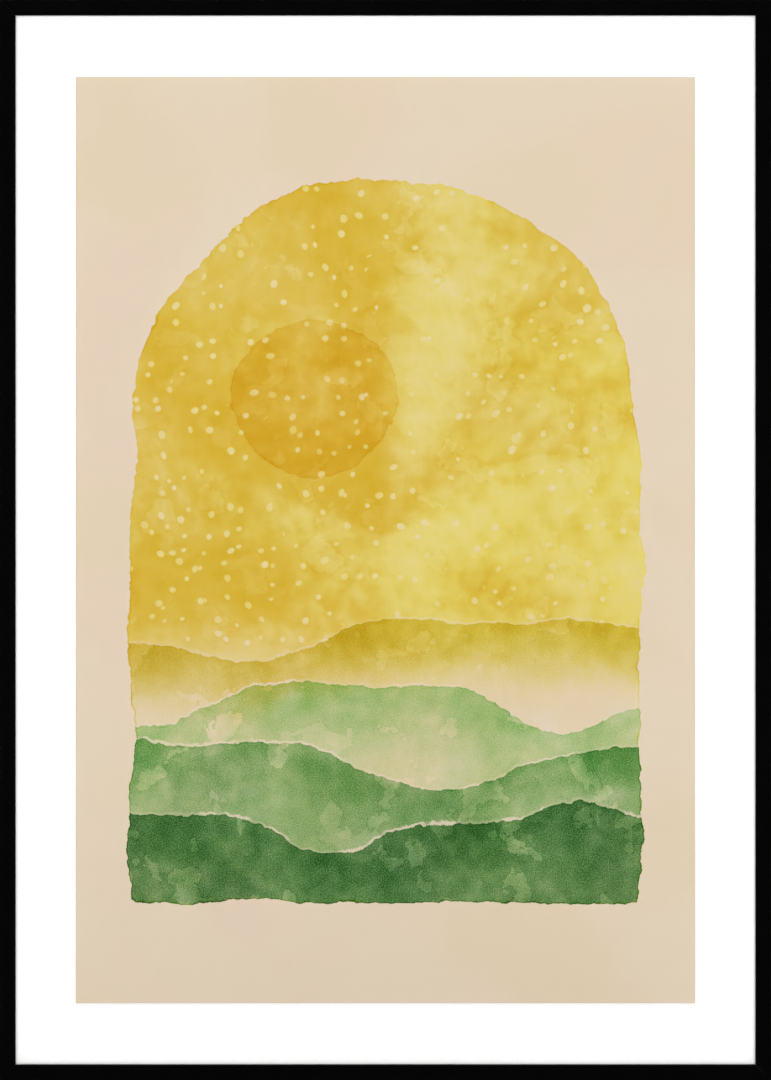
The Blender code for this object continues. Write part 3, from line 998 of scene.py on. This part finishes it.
@dataclass(frozen=True)
class Watercolour:
    """Cream paper painted with an arched view of a golden sky over green hills."""

    paper: Point = tint(226, 209, 186)
    pink: Point = (1.0, 0.97, 0.985)
    warm: Point = (0.985, 0.97, 0.93)
    brightness: float = 0.75
    roughness: float = 0.9
    specular: float = 0.1
    relief: float = 0.03 * MM
    arch_radius: float = 165.0
    arch_spring: float = 70.0
    arch_foot: float = -235.0
    sway: Point = (16.0, 16.0, 0.0)
    tremble: Point = (4.0, 4.0, 0.0)
    stride: tuple[float, float] = (370.0, 210.0)
    sky_crispness: float = 0.35
    hill_crispness: float = 0.55
    spot_spacing: float = 12.0
    spot_clearness: float = 0.62
    golden: Point = tint(214, 183, 70)
    pale: Point = tint(225, 212, 108)
    sun_place: Point = (-46.0, 92.0, 0.0)
    sun_radius: float = 52.0
    sun_load: float = 0.34
    sun_colour: Point = tint(214, 170, 76)
    hills: tuple[Hill, ...] = (
        Hill(-62.0, 13.0, 62.0, 0.4, tint(204, 182, 92), 48.0, 0.1, 0.35),
        Hill(-104.0, 15.0, 48.0, 2.1, tint(164, 188, 130), 58.0, 0.35, 0.8),
        Hill(-142.0, 14.0, 55.0, 4.0, tint(134, 163, 112), 56.0, 0.45, 0.8),
        Hill(-184.0, 12.0, 44.0, 5.3, tint(113, 142, 99), 60.0, 0.8, 0.8),
    )

    def pigment(self, colour: Point) -> Point:
        """The share of each colour of light that a wash lets through to give a colour on this paper."""
        return tuple(min(1.0, max(0.02, wash / sheet)) for wash, sheet in zip(colour, self.paper))

    def sheet(self, flat: Signal, tooth: Signal) -> Signal:
        """The bare paper: faint warm and pink patches, upright fibres and its tooth."""
        pinker, warmer, _ = flat.noise(120.0, 2.0, flat=True, output="Color").split()
        hue = pinker.span(0.42, 0.62).blend(WHITE, self.pink)
        hue = warmer.span(0.45, 0.68).blend(hue, self.warm)
        streaks = flat.noise(1.0, 3.0, (1.1, 16.0, 1.0), flat=True)
        light = (streaks * 0.06 + tooth * 0.06 + 0.95) * self.brightness
        return hue.through(self.paper).through(light)

    def arch(self, drawn: Signal) -> Signal:
        """How far a place lies inside the arch, in millimetres."""
        x, y, _ = drawn.split()
        across = x.beside((y - self.arch_spring).at_least(0.0))
        return (self.arch_radius - across.length()).at_most(y - self.arch_foot)

    def ground(self, point: Signal) -> Ground:
        """Adds the paper, the shaken places that edges are drawn by, and the spots left bare."""
        x, _, z = point.split()
        flat = x.beside(z)
        tooth = flat.noise(0.8, 3.0, flat=True)
        swayed = flat + (flat.noise(70.0, 2.0, flat=True, output="Color") - 0.5) * self.sway
        drawn = swayed + (flat.noise(6.0, 5.0, flat=True, output="Color") - 0.5) * self.tremble
        broad = flat.noise(95.0, 3.0, flat=True)
        drift = broad.span(0.35, 0.65, 0.8, 0.25)
        spots = reserved_spots(point=swayed, spacing=self.spot_spacing, drift=drift)
        bare = 1.0 - spots["spot"] * self.spot_clearness
        paper, arch = self.sheet(flat, tooth), self.arch(drawn)
        return Ground(paper, tooth, drawn, broad, arch, bare=bare, **spots)

    def drying(self, drawn: Signal, place: Point, crisp: float) -> Signal:
        """How a wash has dried, about 0.5 on the whole.

        Args:
            drawn: the place, in millimetres.
            place: where in the endless pattern this wash lies.
            crisp: how much its pale, hard-edged patches show.

        Returns:
            Soft clouds, fine mottling and pale patches with a dark crinkled rim.
        """
        point = drawn + place
        cloud = point.noise(66.0, 3.0, flat=True).span(0.3, 0.7)
        mottle = (point.noise(12.0, 6.0, flat=True) - 0.5) * 1.5
        creep = point.noise(31.0, 5.0, flat=True)
        rim = abs(creep - 0.603).span(0.0, 0.013, 0.6 * crisp, 0.0)
        return mottle + cloud - creep.span(0.605, 0.62, 0.0, crisp) + rim

    def sky(self, ground: Ground, bloom: Signal) -> Signal:
        """The golden wash that fills the arch and thins out behind the hills."""
        x, y, _ = ground.drawn.split()
        warmth = y.span(-60.0, 210.0) * 0.3 + x.span(-150.0, 150.0, 0.35, 0.0) + ground.broad + bloom * 0.22
        golden, pale = self.pigment(self.golden), self.pigment(self.pale)
        pigment = ground.spot.blend(warmth.span(0.5, 1.1).blend(pale, golden), pale)
        load = y.span(-112.0, -36.0) * (ground.broad * 0.3 + 0.82) * ground.bare + ground.ring * 0.1
        return paint_wash(
            under=ground.paper, pigment=pigment, inside=ground.arch, load=load, pool=0.6, pool_width=1.5,
            bloom=bloom, spread=0.42, tooth=ground.tooth,
        )["colour"]

    def sun(self, ground: Ground, under: Signal, bloom: Signal) -> Signal:
        """The deeper round wash laid over the dry sky."""
        inside = self.sun_radius - ground.drawn.distance(self.sun_place)
        return paint_wash(
            under=under, pigment=self.pigment(self.sun_colour), inside=inside, pool=0.35, pool_width=1.3,
            load=ground.bare * self.sun_load, bloom=bloom, spread=0.5, tooth=ground.tooth,
        )["colour"]

    def hill(self, ground: Ground, under: Signal, hill: Hill, bloom: Signal) -> Signal:
        """One hill, strongest along its top and thinner below, with a gap of bare paper over it."""
        line = ridge_line(
            point=ground.drawn, base=hill.base, rise=hill.rise, length=hill.length, phase=hill.phase
        )["under"]
        gap = line.span(-2.0, -1.2) * line.span(-0.2, 0.2, hill.gap, 0.0) * bloom.span(0.2, 0.6, 1.0, 0.25)
        return paint_wash(
            under=gap.blend(under, ground.paper), pigment=self.pigment(hill.colour),
            inside=line.at_most(ground.arch), load=line.span(0.0, hill.fade, 1.0, hill.least), pool=0.45,
            pool_width=1.3, bloom=bloom, spread=0.7, tooth=ground.tooth.span(0.2, 0.8, -0.1, 1.1),
        )["colour"]

    def make(self) -> Material:
        """Builds the material."""
        coat = Coat("print_paper")
        ground = self.ground(coat.point)
        bloom = self.drying(ground.drawn, ORIGIN, self.sky_crispness)
        colour = self.sun(ground, self.sky(ground, bloom), bloom)
        for number, hill in enumerate(self.hills):
            place = (self.stride[X] * (number + 1), self.stride[Y] * number, 0.0)
            bloom = self.drying(ground.drawn, place, self.hill_crispness)
            colour = self.hill(ground, colour, hill, bloom)
        front = coat.normal().dot((0.0, -1.0, 0.0)).above(0.5)
        return coat.surface({
            "Base Color": front.blend(ground.paper, colour),
            "Roughness": self.roughness,
            "Normal": ground.tooth.bump(0.2, self.relief),
            "Specular IOR Level": self.specular,
        })


# The pieces


@dataclass(frozen=True)
class CornerWedges:
    """Bent steel strips driven across the mitres from behind."""

    inset: float = 1.8 * MM
    leg: float = 4.0 * MM
    thickness: float = 0.6 * MM
    depth: float = 7.5 * MM
    sunk: float = 0.2 * MM
    arris: float = 0.08 * MM

    def strip(self, name: str, grow: float = 0.0, out: float = 0.0) -> Piece:
        """Models a wedge from the frame's outer corner, its legs along -X and -Z.

        Args:
            name: the piece's name.
            grow: how much larger it is all round, for a slot.
            out: how much further it reaches to the back, for a slot.

        Returns:
            The L of steel.
        """
        near_side = grow - self.inset
        elbow = -(self.inset + self.thickness + grow)
        far_side = -(self.inset + self.leg + grow)
        start = DEPTH - self.sunk - self.depth - grow
        wedge = block(name, (far_side, start, elbow), (near_side, DEPTH - self.sunk + out, near_side))
        with editing(wedge):
            cut_across(X, elbow)
            choose(wedge, Part.FACES, faces_at(Z, elbow, X, elbow))
            extrude(z=far_side - elbow)
        return wedge

    def build(self, finish: Material) -> None:
        """Makes the four wedges, each at the far end of its side."""
        for side, corner in zip(Side, ("top_right", "bottom_right", "bottom_left", "top_left")):
            wedge = self.strip(f"{corner}_wedge")
            ease(wedge, self.arris)
            complete(wedge, f"corner_wedge_{corner}", finish, side.placed(side.length / 2))


@dataclass(frozen=True)
class Moulding:
    """Four mitred rails of slim moulding, with a rebate behind the lip."""

    lip: float = 4.4 * MM
    rebate: float = 4.0 * MM
    edge_radius: float = 0.8 * MM
    back_round: float = 0.4 * MM
    arris: float = 0.15 * MM
    mitre_gap: float = 0.06 * MM
    mitre_arris: float = 0.1 * MM
    pilot: tuple[float, float] = (1.25 * MM, 10.4 * MM)
    pin_hole: tuple[float, float] = (0.75 * MM, 9.2 * MM)
    hole_sides: int = 24
    hole_point: float = 0.15
    slot_clearance: float = 0.04 * MM

    @property
    def land(self) -> float:
        """Width of the rail's back."""
        return FACE - self.rebate

    def rail(self, side: Side) -> Piece:
        """Models one rail along local X, its outer side on Z = 0, with rounded edges and mitred ends."""
        half = side.length / 2
        end = half - self.mitre_gap / math.sqrt(2)
        rail = block(f"{side.name.lower()}_moulding", (-half, 0, -FACE), (half, self.lip, 0))
        with editing(rail):
            cut_across(Z, -self.land)
            choose(rail, Part.FACES, faces_at(Y, self.lip, Z, -self.land))
            extrude(y=DEPTH - self.lip)
            round_off(rail, self.edge_radius, 6, edges_at((0.0, 0.0), (0.0, -FACE)))
            round_off(rail, self.back_round, 3, edges_at((DEPTH, 0.0)))
            round_off(rail, self.arris, 2, edges_at((DEPTH, -self.land), (self.lip, -FACE)))
            for sign in (-1, 1):
                cut_off((sign * end, 0, 0), (sign, 0, -1))
            round_off(
                rail, self.mitre_arris, 2,
                lambda edge: all(near(abs(point.co.x) - point.co.z, end) for point in edge.verts),
            )
        return rail

    def bore(self, rail: Piece, along: float, size: tuple[float, float]) -> None:
        """Drills a hole of a radius and depth, with a tapered end, into the back of a rail."""
        radius, depth = size
        tip = (self.hole_point * radius, DEPTH - depth - radius)
        profile = [tip, (radius, DEPTH - depth), (radius, DEPTH + MM)]
        drill(rail, profile, self.hole_sides, along, -self.land / 2)

    def build(self, wedges: CornerWedges, pins: tuple[float, ...]) -> None:
        """Makes the rails, with pilot holes for the clips' screws and pins and slots for the wedges.

        Args:
            wedges: the wedges that cross the mitres.
            pins: places of the hanger's pins along the top rail.
        """
        finishes = {grain: Lacquer(grain).make() for grain in Grain}
        for side in Side:
            rail = self.rail(side)
            for site in clip_sites():
                if site.side is side:
                    self.bore(rail, site.local.x, self.pilot)
            if side is Side.TOP:
                for along in pins:
                    self.bore(rail, along, self.pin_hole)
            for end, turn in ((side.length / 2, 0.0), (-side.length / 2, -math.pi / 2)):
                slot = wedges.strip("slot", self.slot_clearance, MM)
                settle(slot, Matrix.Translation((end, 0, 0)) @ Matrix.Rotation(turn, 4, "Y"))
                carve(rail, slot)
            node = f"rail_{side.name.lower()}"
            complete(rail, node, finishes[side.grain], side.placed())


@dataclass(frozen=True)
class Layers:
    """The flat sheets in the rebate: glazing, mat, print, filler card and back board."""

    glazing_arris: float = 0.2 * MM
    card_arris: float = 0.15 * MM
    board_arris: float = 0.35 * MM
    board_corner: float = 0.9 * MM
    window_arris: float = 0.07 * MM
    bevel_overrun: float = 1.0 * MM
    print_columns: int = 60
    print_rows: int = 84
    cockle_size: float = 110.0 * MM
    cockle_height: float = 0.26 * MM
    white: Board = Board(
        "white_mat", colour=(0.95, 0.95, 0.945), fleck=(0.86, 0.855, 0.84), fleck_share=0.25,
        cloud_share=0.015, fibre_size=0.7, roughness=0.9, relief=0.03 * MM,
    )
    grey: Board = Board(
        "grey_board", colour=(0.42, 0.40, 0.37), fleck=(0.22, 0.20, 0.18), fleck_share=0.6,
        cloud_share=0.12, fibre_size=1.6, roughness=0.95, relief=0.06 * MM,
    )

    def brown(self) -> Hardboard:
        """The hardboard, rubbed round the clips' pivots, which are the same left and right, up and down."""
        back = (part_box("backing_board")[1].y - CENTRE.y) / MM
        offsets = [(site.pivot - CENTRE) / MM for site in clip_sites()]
        pivots = sorted({(round(abs(offset.x), 2), back, round(abs(offset.z), 2)) for offset in offsets})
        return Hardboard(
            "hardboard", colour=(0.215, 0.122, 0.062), fleck=(0.12, 0.064, 0.034), fleck_share=0.5,
            cloud_share=0.1, fibre_size=0.6, roughness=0.72, relief=0.12 * MM, pivots=tuple(pivots),
        )

    def slab(self, name: str, node: str, arris: float, corner: float = 0.0) -> Piece:
        """Models a flat sheet over a node's box, with eased edges and maybe softened corners."""
        sheet = block(name, *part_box(node))
        if corner:
            with editing(sheet):
                round_off(sheet, corner, 3, upright_corner)
        ease(sheet, arris)
        return sheet

    def mat(self) -> Piece:
        """Models the mat: a board with a window cut at 45 degrees, wider at its face."""
        low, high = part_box("mat")
        mat = block("window_mat", low, high)
        over = self.bevel_overrun
        corners = [vert.co - CENTRE for vert in frame["nodes"]["mat"].data.vertices]
        half_x, half_z = (min(abs(corner[axis]) for corner in corners) - over for axis in (X, Z))
        front, back = low.y - over, high.y + over
        cutter = block("cutter", (-half_x, front, CENTRE.z - half_z), (half_x, back, CENTRE.z + half_z))
        with editing(cutter):
            choose(cutter, Part.FACES, faces_at(Y, front))
            widen(1 + (back - front) / half_x, 1 + (back - front) / half_z, CENTRE)
        carve(mat, cutter)
        ease(mat, self.window_arris)
        return mat

    def printed_sheet(self) -> Piece:
        """Models the print: a thin sheet of paper that is very slightly cockled."""
        low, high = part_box("print_sheet")
        size, middle = high - low, (low + high) / 2
        pick()
        bpy.ops.mesh.primitive_grid_add(
            x_subdivisions=self.print_columns, y_subdivisions=self.print_rows, size=1,
            location=(middle.x, high.y - self.cockle_height / 2, middle.z), rotation=(math.pi / 2, 0, 0),
        )
        sheet = bpy.context.active_object
        sheet.name = sheet.data.name = "painted_print"
        sheet.scale = (size.x, size.z, 1)
        settle(sheet)
        roughen(sheet, self.cockle_size, self.cockle_height, "Y")
        applied(sheet, "SOLIDIFY", thickness=size.y - self.cockle_height, offset=1.0)
        return sheet

    def build(self) -> None:
        """Makes the five sheets and their finishes."""
        pane = self.slab("glazing_pane", "glazing", self.glazing_arris)
        complete(pane, "glazing", Acrylic().make())
        complete(self.mat(), "mat", self.white.make())
        complete(self.printed_sheet(), "print_sheet", Watercolour().make())
        card = self.slab("filler_card", "filler_board", self.card_arris)
        complete(card, "filler_board", self.grey.make())
        board = self.slab("back_board", "backing_board", self.board_arris, self.board_corner)
        complete(board, "backing_board", self.brown().make())


@dataclass(frozen=True)
class TurnClips:
    """Stamped steel strips that turn on a screw and hold the back board in."""

    width: float = 6.0 * MM
    reach: float = 19.0 * MM
    thickness: float = 0.8 * MM
    tip: float = 3.5 * MM
    tip_angle: float = math.radians(11.3)
    bend_rows: int = 5
    bend_pitch: float = 0.3 * MM
    bore: float = 1.35 * MM
    bore_sides: int = 40
    end_share: float = 0.998
    end_steps: int = 9
    arris: float = 0.12 * MM

    def strip(self) -> Piece:
        """Models the clip with its pivot at the origin. It reaches along -Z and its tip lifts to +Y."""
        half = self.width / 2
        strip = block("clip_strip", (-half, 0, -self.reach), (half, self.thickness, half))
        first = self.tip - self.reach + self.bend_rows / 2 * self.bend_pitch
        places = [first - row * self.bend_pitch for row in range(self.bend_rows)]
        with editing(strip):
            round_off(strip, half * self.end_share, self.end_steps, upright_corner)
            bpy.ops.mesh.select_all(action="SELECT")
            bpy.ops.mesh.remove_doubles(threshold=WELD)
            cut_across(Z, *places)
            for place in places:
                choose(strip, Part.POINTS, lambda point: point.co.z < place - WELD)
                bpy.ops.transform.rotate(
                    value=-self.tip_angle / self.bend_rows, orient_axis="X",
                    center_override=(0, self.thickness / 2, place),
                )
        drill(strip, [(self.bore, -MM), (self.bore, self.thickness + MM)], self.bore_sides)
        ease(strip, self.arris)
        return strip

    def build(self, finish: Material) -> None:
        """Makes a clip at each site."""
        strip = self.strip()
        for site in clip_sites():
            node = f"turn_clip_{site.label}"
            clip = copied(strip, f"clip_{site.label}")
            complete(clip, node, finish, site.placed(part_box(node)[0].y))
        discard(strip)


@dataclass(frozen=True)
class ClipScrews:
    """Pan-head screws with a cross recess, one through each turn clip."""

    radius: float = 1.2 * MM
    length: float = 11.0 * MM
    taper: float = 3.0 * MM
    point_radius: float = 0.25 * MM
    head_radius: float = 2.7 * MM
    head_height: float = 1.4 * MM
    rim_share: float = 0.97
    rim_height: float = 0.12 * MM
    dome_start: float = 0.45
    dome_top: float = 0.35
    dome_steps: int = 7
    recess_arm: float = 1.5 * MM
    recess_half: float = 0.36 * MM
    recess_depth: float = 0.9 * MM
    recess_taper: float = 0.45
    sides: int = 40
    seed: int = 11

    def dome(self) -> Profile:
        """The head's profile, from its rim to its flat top."""
        points = [(self.head_radius * self.rim_share, 0.0), (self.head_radius, self.rim_height)]
        start = self.dome_start * self.head_height
        for step in range(self.dome_steps):
            angle = math.pi / 2 * step / self.dome_steps
            across = self.dome_top + (1 - self.dome_top) * math.cos(angle)
            points.append((self.head_radius * across, start + (self.head_height - start) * math.sin(angle)))
        return points

    def screw(self) -> Piece:
        """Models the screw along Y, its origin where the head meets the clip."""
        tip = (self.point_radius, -self.length)
        shank = [tip, (self.radius, self.taper - self.length), (self.radius, 0.0)]
        screw = turned("screw", shank + self.dome(), self.sides)
        floor = self.head_height - self.recess_depth
        top = self.head_height + self.recess_depth
        for half_x, half_z in ((self.recess_arm, self.recess_half), (self.recess_half, self.recess_arm)):
            arm = block("arm", (-half_x, floor, -half_z), (half_x, top, half_z))
            with editing(arm):
                choose(arm, Part.FACES, faces_at(Y, floor))
                widen(self.recess_taper, self.recess_taper, (0, floor, 0))
            carve(screw, arm)
        return screw

    def build(self, finish: Material) -> None:
        """Makes a screw at each clip, its recess at a chance angle."""
        screw = self.screw()
        chance = random.Random(self.seed)
        for site in clip_sites():
            node = f"clip_screw_{site.label}"
            fixed = copied(screw, f"screw_{site.label}")
            turn = Matrix.Rotation(chance.uniform(0, math.pi), 4, "Y")
            place = site.placed(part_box(node)[1].y - self.head_height) @ turn
            complete(fixed, node, finish, place)
        discard(screw)


@dataclass(frozen=True)
class Hanger:
    """A toothed strip on the top rail, raised between its feet, and the two pins through them."""

    length: float = 38.0 * MM
    thickness: float = 0.7 * MM
    gap: float = 0.3 * MM
    rise: float = 1.7 * MM
    foot: float = 5.0 * MM
    ramp: float = 2.0 * MM
    ramp_steps: int = 8
    corner: float = 1.0 * MM
    pitch: float = 2.4 * MM
    notch: float = 1.2 * MM
    notches_each_side: int = 4
    arris: float = 0.08 * MM
    hole_radius: float = 0.8 * MM
    hole_reach: float = 3.0 * MM
    hole_sides: int = 28
    pin_radius: float = 0.7 * MM
    pin_length: float = 10.0 * MM
    pin_tip: float = 0.12 * MM
    pin_taper: float = 2.0 * MM
    pin_sides: int = 32
    head_radius: float = 1.5 * MM
    head_height: float = 0.6 * MM
    head_shape: tuple[tuple[float, float], ...] = (
        (0.96, 0.0), (1.0, 0.15), (0.98, 0.5), (0.9, 0.8), (0.7, 0.95), (0.35, 1.0),
    )

    @property
    def pin_places(self) -> tuple[float, float]:
        """Places of the pins along the rail."""
        place = (self.length - self.foot) / 2
        return -place, place

    def teeth(self, strip: Piece, bottom: float) -> None:
        """Pulls notches into the lower edge of the flat strip, in edit mode."""
        count = 4 * self.notches_each_side + 2
        places = [(step - count / 2) * self.pitch / 2 for step in range(count + 1)]
        cut_across(X, *places)
        choose(
            strip, Part.POINTS,
            lambda point: near(point.co.z, bottom) and any(near(point.co.x, root) for root in places[1::2]),
        )
        bpy.ops.transform.translate(value=(0, 0, self.notch))

    def strip(self) -> Piece:
        """Models the strip over the top rail, its back to the rail at Y = 0."""
        bottom, top = (corner.z - RAIL_HIGH.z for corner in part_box("hanger"))
        half = self.length / 2
        strip = block("sawtooth_hanger", (-half, 0, bottom), (half, self.thickness, top))
        shares = [(step + 0.5) / self.ramp_steps for step in range(self.ramp_steps)]
        rows = [half - self.foot - self.ramp + self.ramp * share for share in shares]
        weights = [math.sin(math.pi * share) for share in shares]
        with editing(strip):
            round_off(strip, self.corner, 5, upright_corner)
            self.teeth(strip, bottom)
            cut_across(X, *(sign * row for sign in (-1, 1) for row in rows))
            bpy.ops.mesh.select_all(action="SELECT")
            bpy.ops.transform.translate(value=(0, self.rise, 0))
            for row, weight in zip(rows, weights):
                choose(strip, Part.POINTS, lambda point: abs(point.co.x) > row - WELD)
                bpy.ops.transform.translate(value=(0, -self.rise * weight / sum(weights), 0))
        profile = [(self.hole_radius, -MM), (self.hole_radius, self.hole_reach)]
        for place in self.pin_places:
            drill(strip, profile, self.hole_sides, place, (bottom + top) / 2)
        ease(strip, self.arris)
        return strip

    def pin(self) -> Piece:
        """Models a pin along Y, its origin where the head meets the strip."""
        tip = (self.pin_tip, -self.pin_length)
        shank = [tip, (self.pin_radius, self.pin_taper - self.pin_length), (self.pin_radius, 0.0)]
        head = [(self.head_radius * share, self.head_height * rise) for share, rise in self.head_shape]
        return turned("pin", shank + head, self.pin_sides)

    def build(self, strip_finish: Material, pin_finish: Material) -> None:
        """Makes the strip and its pins."""
        place = Side.TOP.placed(depth=DEPTH + self.gap)
        complete(self.strip(), "hanger", strip_finish, place)
        pattern = self.pin()
        for name, along in zip(("left", "right"), self.pin_places):
            low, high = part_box(f"hanger_pin_{name}")
            pin = copied(pattern, f"{name}_pin")
            inward = RAIL_HIGH.z - (low.z + high.z) / 2
            place = Side.TOP.placed(along, inward, high.y - self.head_height - CENTRE.y)
            complete(pin, f"hanger_pin_{name}", pin_finish, place)
        discard(pattern)


@dataclass(frozen=True)
class Bumpers:
    """Two strips of felt between the bottom rail and the wall."""

    corner: float = 1.5 * MM
    edge: float = 0.45 * MM
    cell: float = 0.8 * MM
    fuzz_size: float = 0.9 * MM
    fuzz: float = 0.12 * MM

    def build(self, finish: Material) -> None:
        """Makes both bumpers."""
        for side in ("left", "right"):
            low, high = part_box(f"felt_bumper_{side}")
            margin = Vector((self.fuzz,) * 3) / 2
            bumper = block(f"{side}_bumper", low + margin, high - margin)
            with editing(bumper):
                round_off(bumper, self.corner, 6, upright_corner)
                round_off(bumper, self.edge, 3, lambda edge: near(*(end.co.y for end in edge.verts)))
                for axis in (X, Z):
                    count = int((high[axis] - low[axis]) / self.cell)
                    cut_across(axis, *(low[axis] + step * self.cell for step in range(1, count)))
            roughen(bumper, self.fuzz_size, self.fuzz)
            complete(bumper, f"felt_bumper_{side}", finish)


# The studio


@dataclass(frozen=True)
class Sunlight:
    """A soft, even light from far off: its name, where it comes from, its strength and its spread."""

    name: str
    way: Point
    strength: float
    degrees: float

    def build(self) -> None:
        """Adds the light, which glossy surfaces don't mirror."""
        data = bpy.data.lights.new(self.name, "SUN")
        data.energy = self.strength
        data.angle = math.radians(self.degrees)
        light = bpy.data.objects.new(self.name, data)
        bpy.context.scene.collection.objects.link(light)
        light.location = CENTRE + Vector(self.way)
        light.rotation_euler = (-Vector(self.way)).to_track_quat("-Z", "Y").to_euler()
        light.visible_glossy = False
        light.visible_transmission = False


@dataclass(frozen=True)
class Studio:
    """A pale floor, soft lights and a camera straight in front of the frame."""

    lens: float = 300.0
    sensor: float = 36.0
    clip_end: float = 200.0
    overfill: float = 1.0012
    floor_size: float = 120.0
    floor_gap: float = 0.2 * MM
    floor_colour: Point = (0.8, 0.8, 0.79)
    floor_patch: float = 900.0
    floor_roughness: float = 0.9
    background: Point = (0.93, 0.93, 0.92)
    sky_light: float = 0.32
    dark_within: float = 38.0
    light_beyond: float = 62.0
    panel_light: float = 1.6
    panel_within: float = 14.0
    panel_beyond: float = 40.0
    panels: tuple[Point, ...] = ((-0.75, 0.55, 0.35), (0.75, 0.55, 0.35), (0.0, 0.25, 0.95))
    lights: tuple[Sunlight, ...] = (
        Sunlight("front", (0.0, -1.0, 0.04), 3.0, 34.0),
        Sunlight("back", (0.35, 1.0, 0.6), 1.5, 50.0),
    )

    def camera(self) -> None:
        """Sets the camera so that the frame's height fills the picture."""
        data = bpy.data.cameras.new("camera")
        data.lens = self.lens
        data.sensor_width = self.sensor
        data.clip_end = self.clip_end
        camera = bpy.data.objects.new("camera", data)
        bpy.context.scene.collection.objects.link(camera)
        distance = HEIGHT / self.overfill * self.lens / self.sensor - DEPTH / 4
        camera.location = CENTRE - Vector((0, distance, 0))
        camera.rotation_euler = (math.pi / 2, 0, 0)
        bpy.context.scene.camera = camera

    def floor(self) -> None:
        """Lays a pale floor under the frame."""
        pick()
        place = (0, 0, CAD_LOW.z - self.floor_gap)
        bpy.ops.mesh.primitive_plane_add(size=self.floor_size, location=place)
        floor = bpy.context.active_object
        floor.name = "studio_floor"
        coat = Coat("studio_floor")
        tone = coat.millimetres().noise(self.floor_patch, 2.0).span(0.3, 0.7, 0.97, 1.0)
        colour = tone.through(self.floor_colour)
        material = coat.surface({"Base Color": colour, "Roughness": self.floor_roughness})
        floor.data.materials.append(material)
        floor.visible_glossy = False
        floor.visible_transmission = False
        floor.visible_shadow = False

    def world(self) -> None:
        """Sets a pale surrounding that is dark round the camera, so that the face mirrors nothing."""
        world = bpy.data.worlds.new("studio")
        world.use_nodes = True
        bpy.context.scene.world = world
        graph = Graph(world.node_tree)
        background = world.node_tree.nodes["Background"]
        way = graph.give("ShaderNodeTexCoord", output="Generated")
        angles = (self.light_beyond, self.dark_within, self.panel_beyond, self.panel_within)
        beyond, within, far, full = (math.cos(math.radians(angle)) for angle in angles)
        light = way.dot((0.0, -1.0, 0.0)).span(beyond, within, self.sky_light, 0.0)
        for panel in self.panels:
            towards = way.dot(tuple(Vector(panel).normalized()))
            light = light + towards.span(far, full, 0.0, self.panel_light)
        seen = graph.give("ShaderNodeLightPath", output="Is Camera Ray")
        graph.feed(background.inputs["Color"], seen.blend(light, self.background))

    def build(self) -> None:
        """Makes the whole studio."""
        self.camera()
        self.floor()
        self.world()
        for light in self.lights:
            light.build()
        bpy.context.scene.view_settings.view_transform = "Standard"


def main() -> None:
    """Builds the studio and then the framed print, piece by piece."""
    logging.basicConfig(level=logging.INFO, format="%(message)s")
    Studio().build()
    zinc = Metal(
        "zinc_steel", colour=(0.60, 0.60, 0.59), stain=(0.40, 0.41, 0.42), bright=(0.78, 0.78, 0.77),
        roughness=0.38,
    ).make()
    brass = Metal(
        "brassed_steel", colour=(0.68, 0.54, 0.29), stain=(0.42, 0.30, 0.15), bright=(0.86, 0.76, 0.52),
        roughness=0.3,
    ).make()
    steel = Metal(
        "bare_steel", colour=(0.42, 0.42, 0.43), stain=(0.18, 0.15, 0.13), bright=(0.62, 0.62, 0.63),
        roughness=0.42,
    ).make()
    hanger = Hanger()
    wedges = CornerWedges()
    Moulding().build(wedges, hanger.pin_places)
    wedges.build(steel)
    Layers().build()
    TurnClips().build(zinc)
    ClipScrews().build(brass)
    hanger.build(zinc, brass)
    Bumpers().build(Felt().make())


if __name__ == "__main__":
    main()
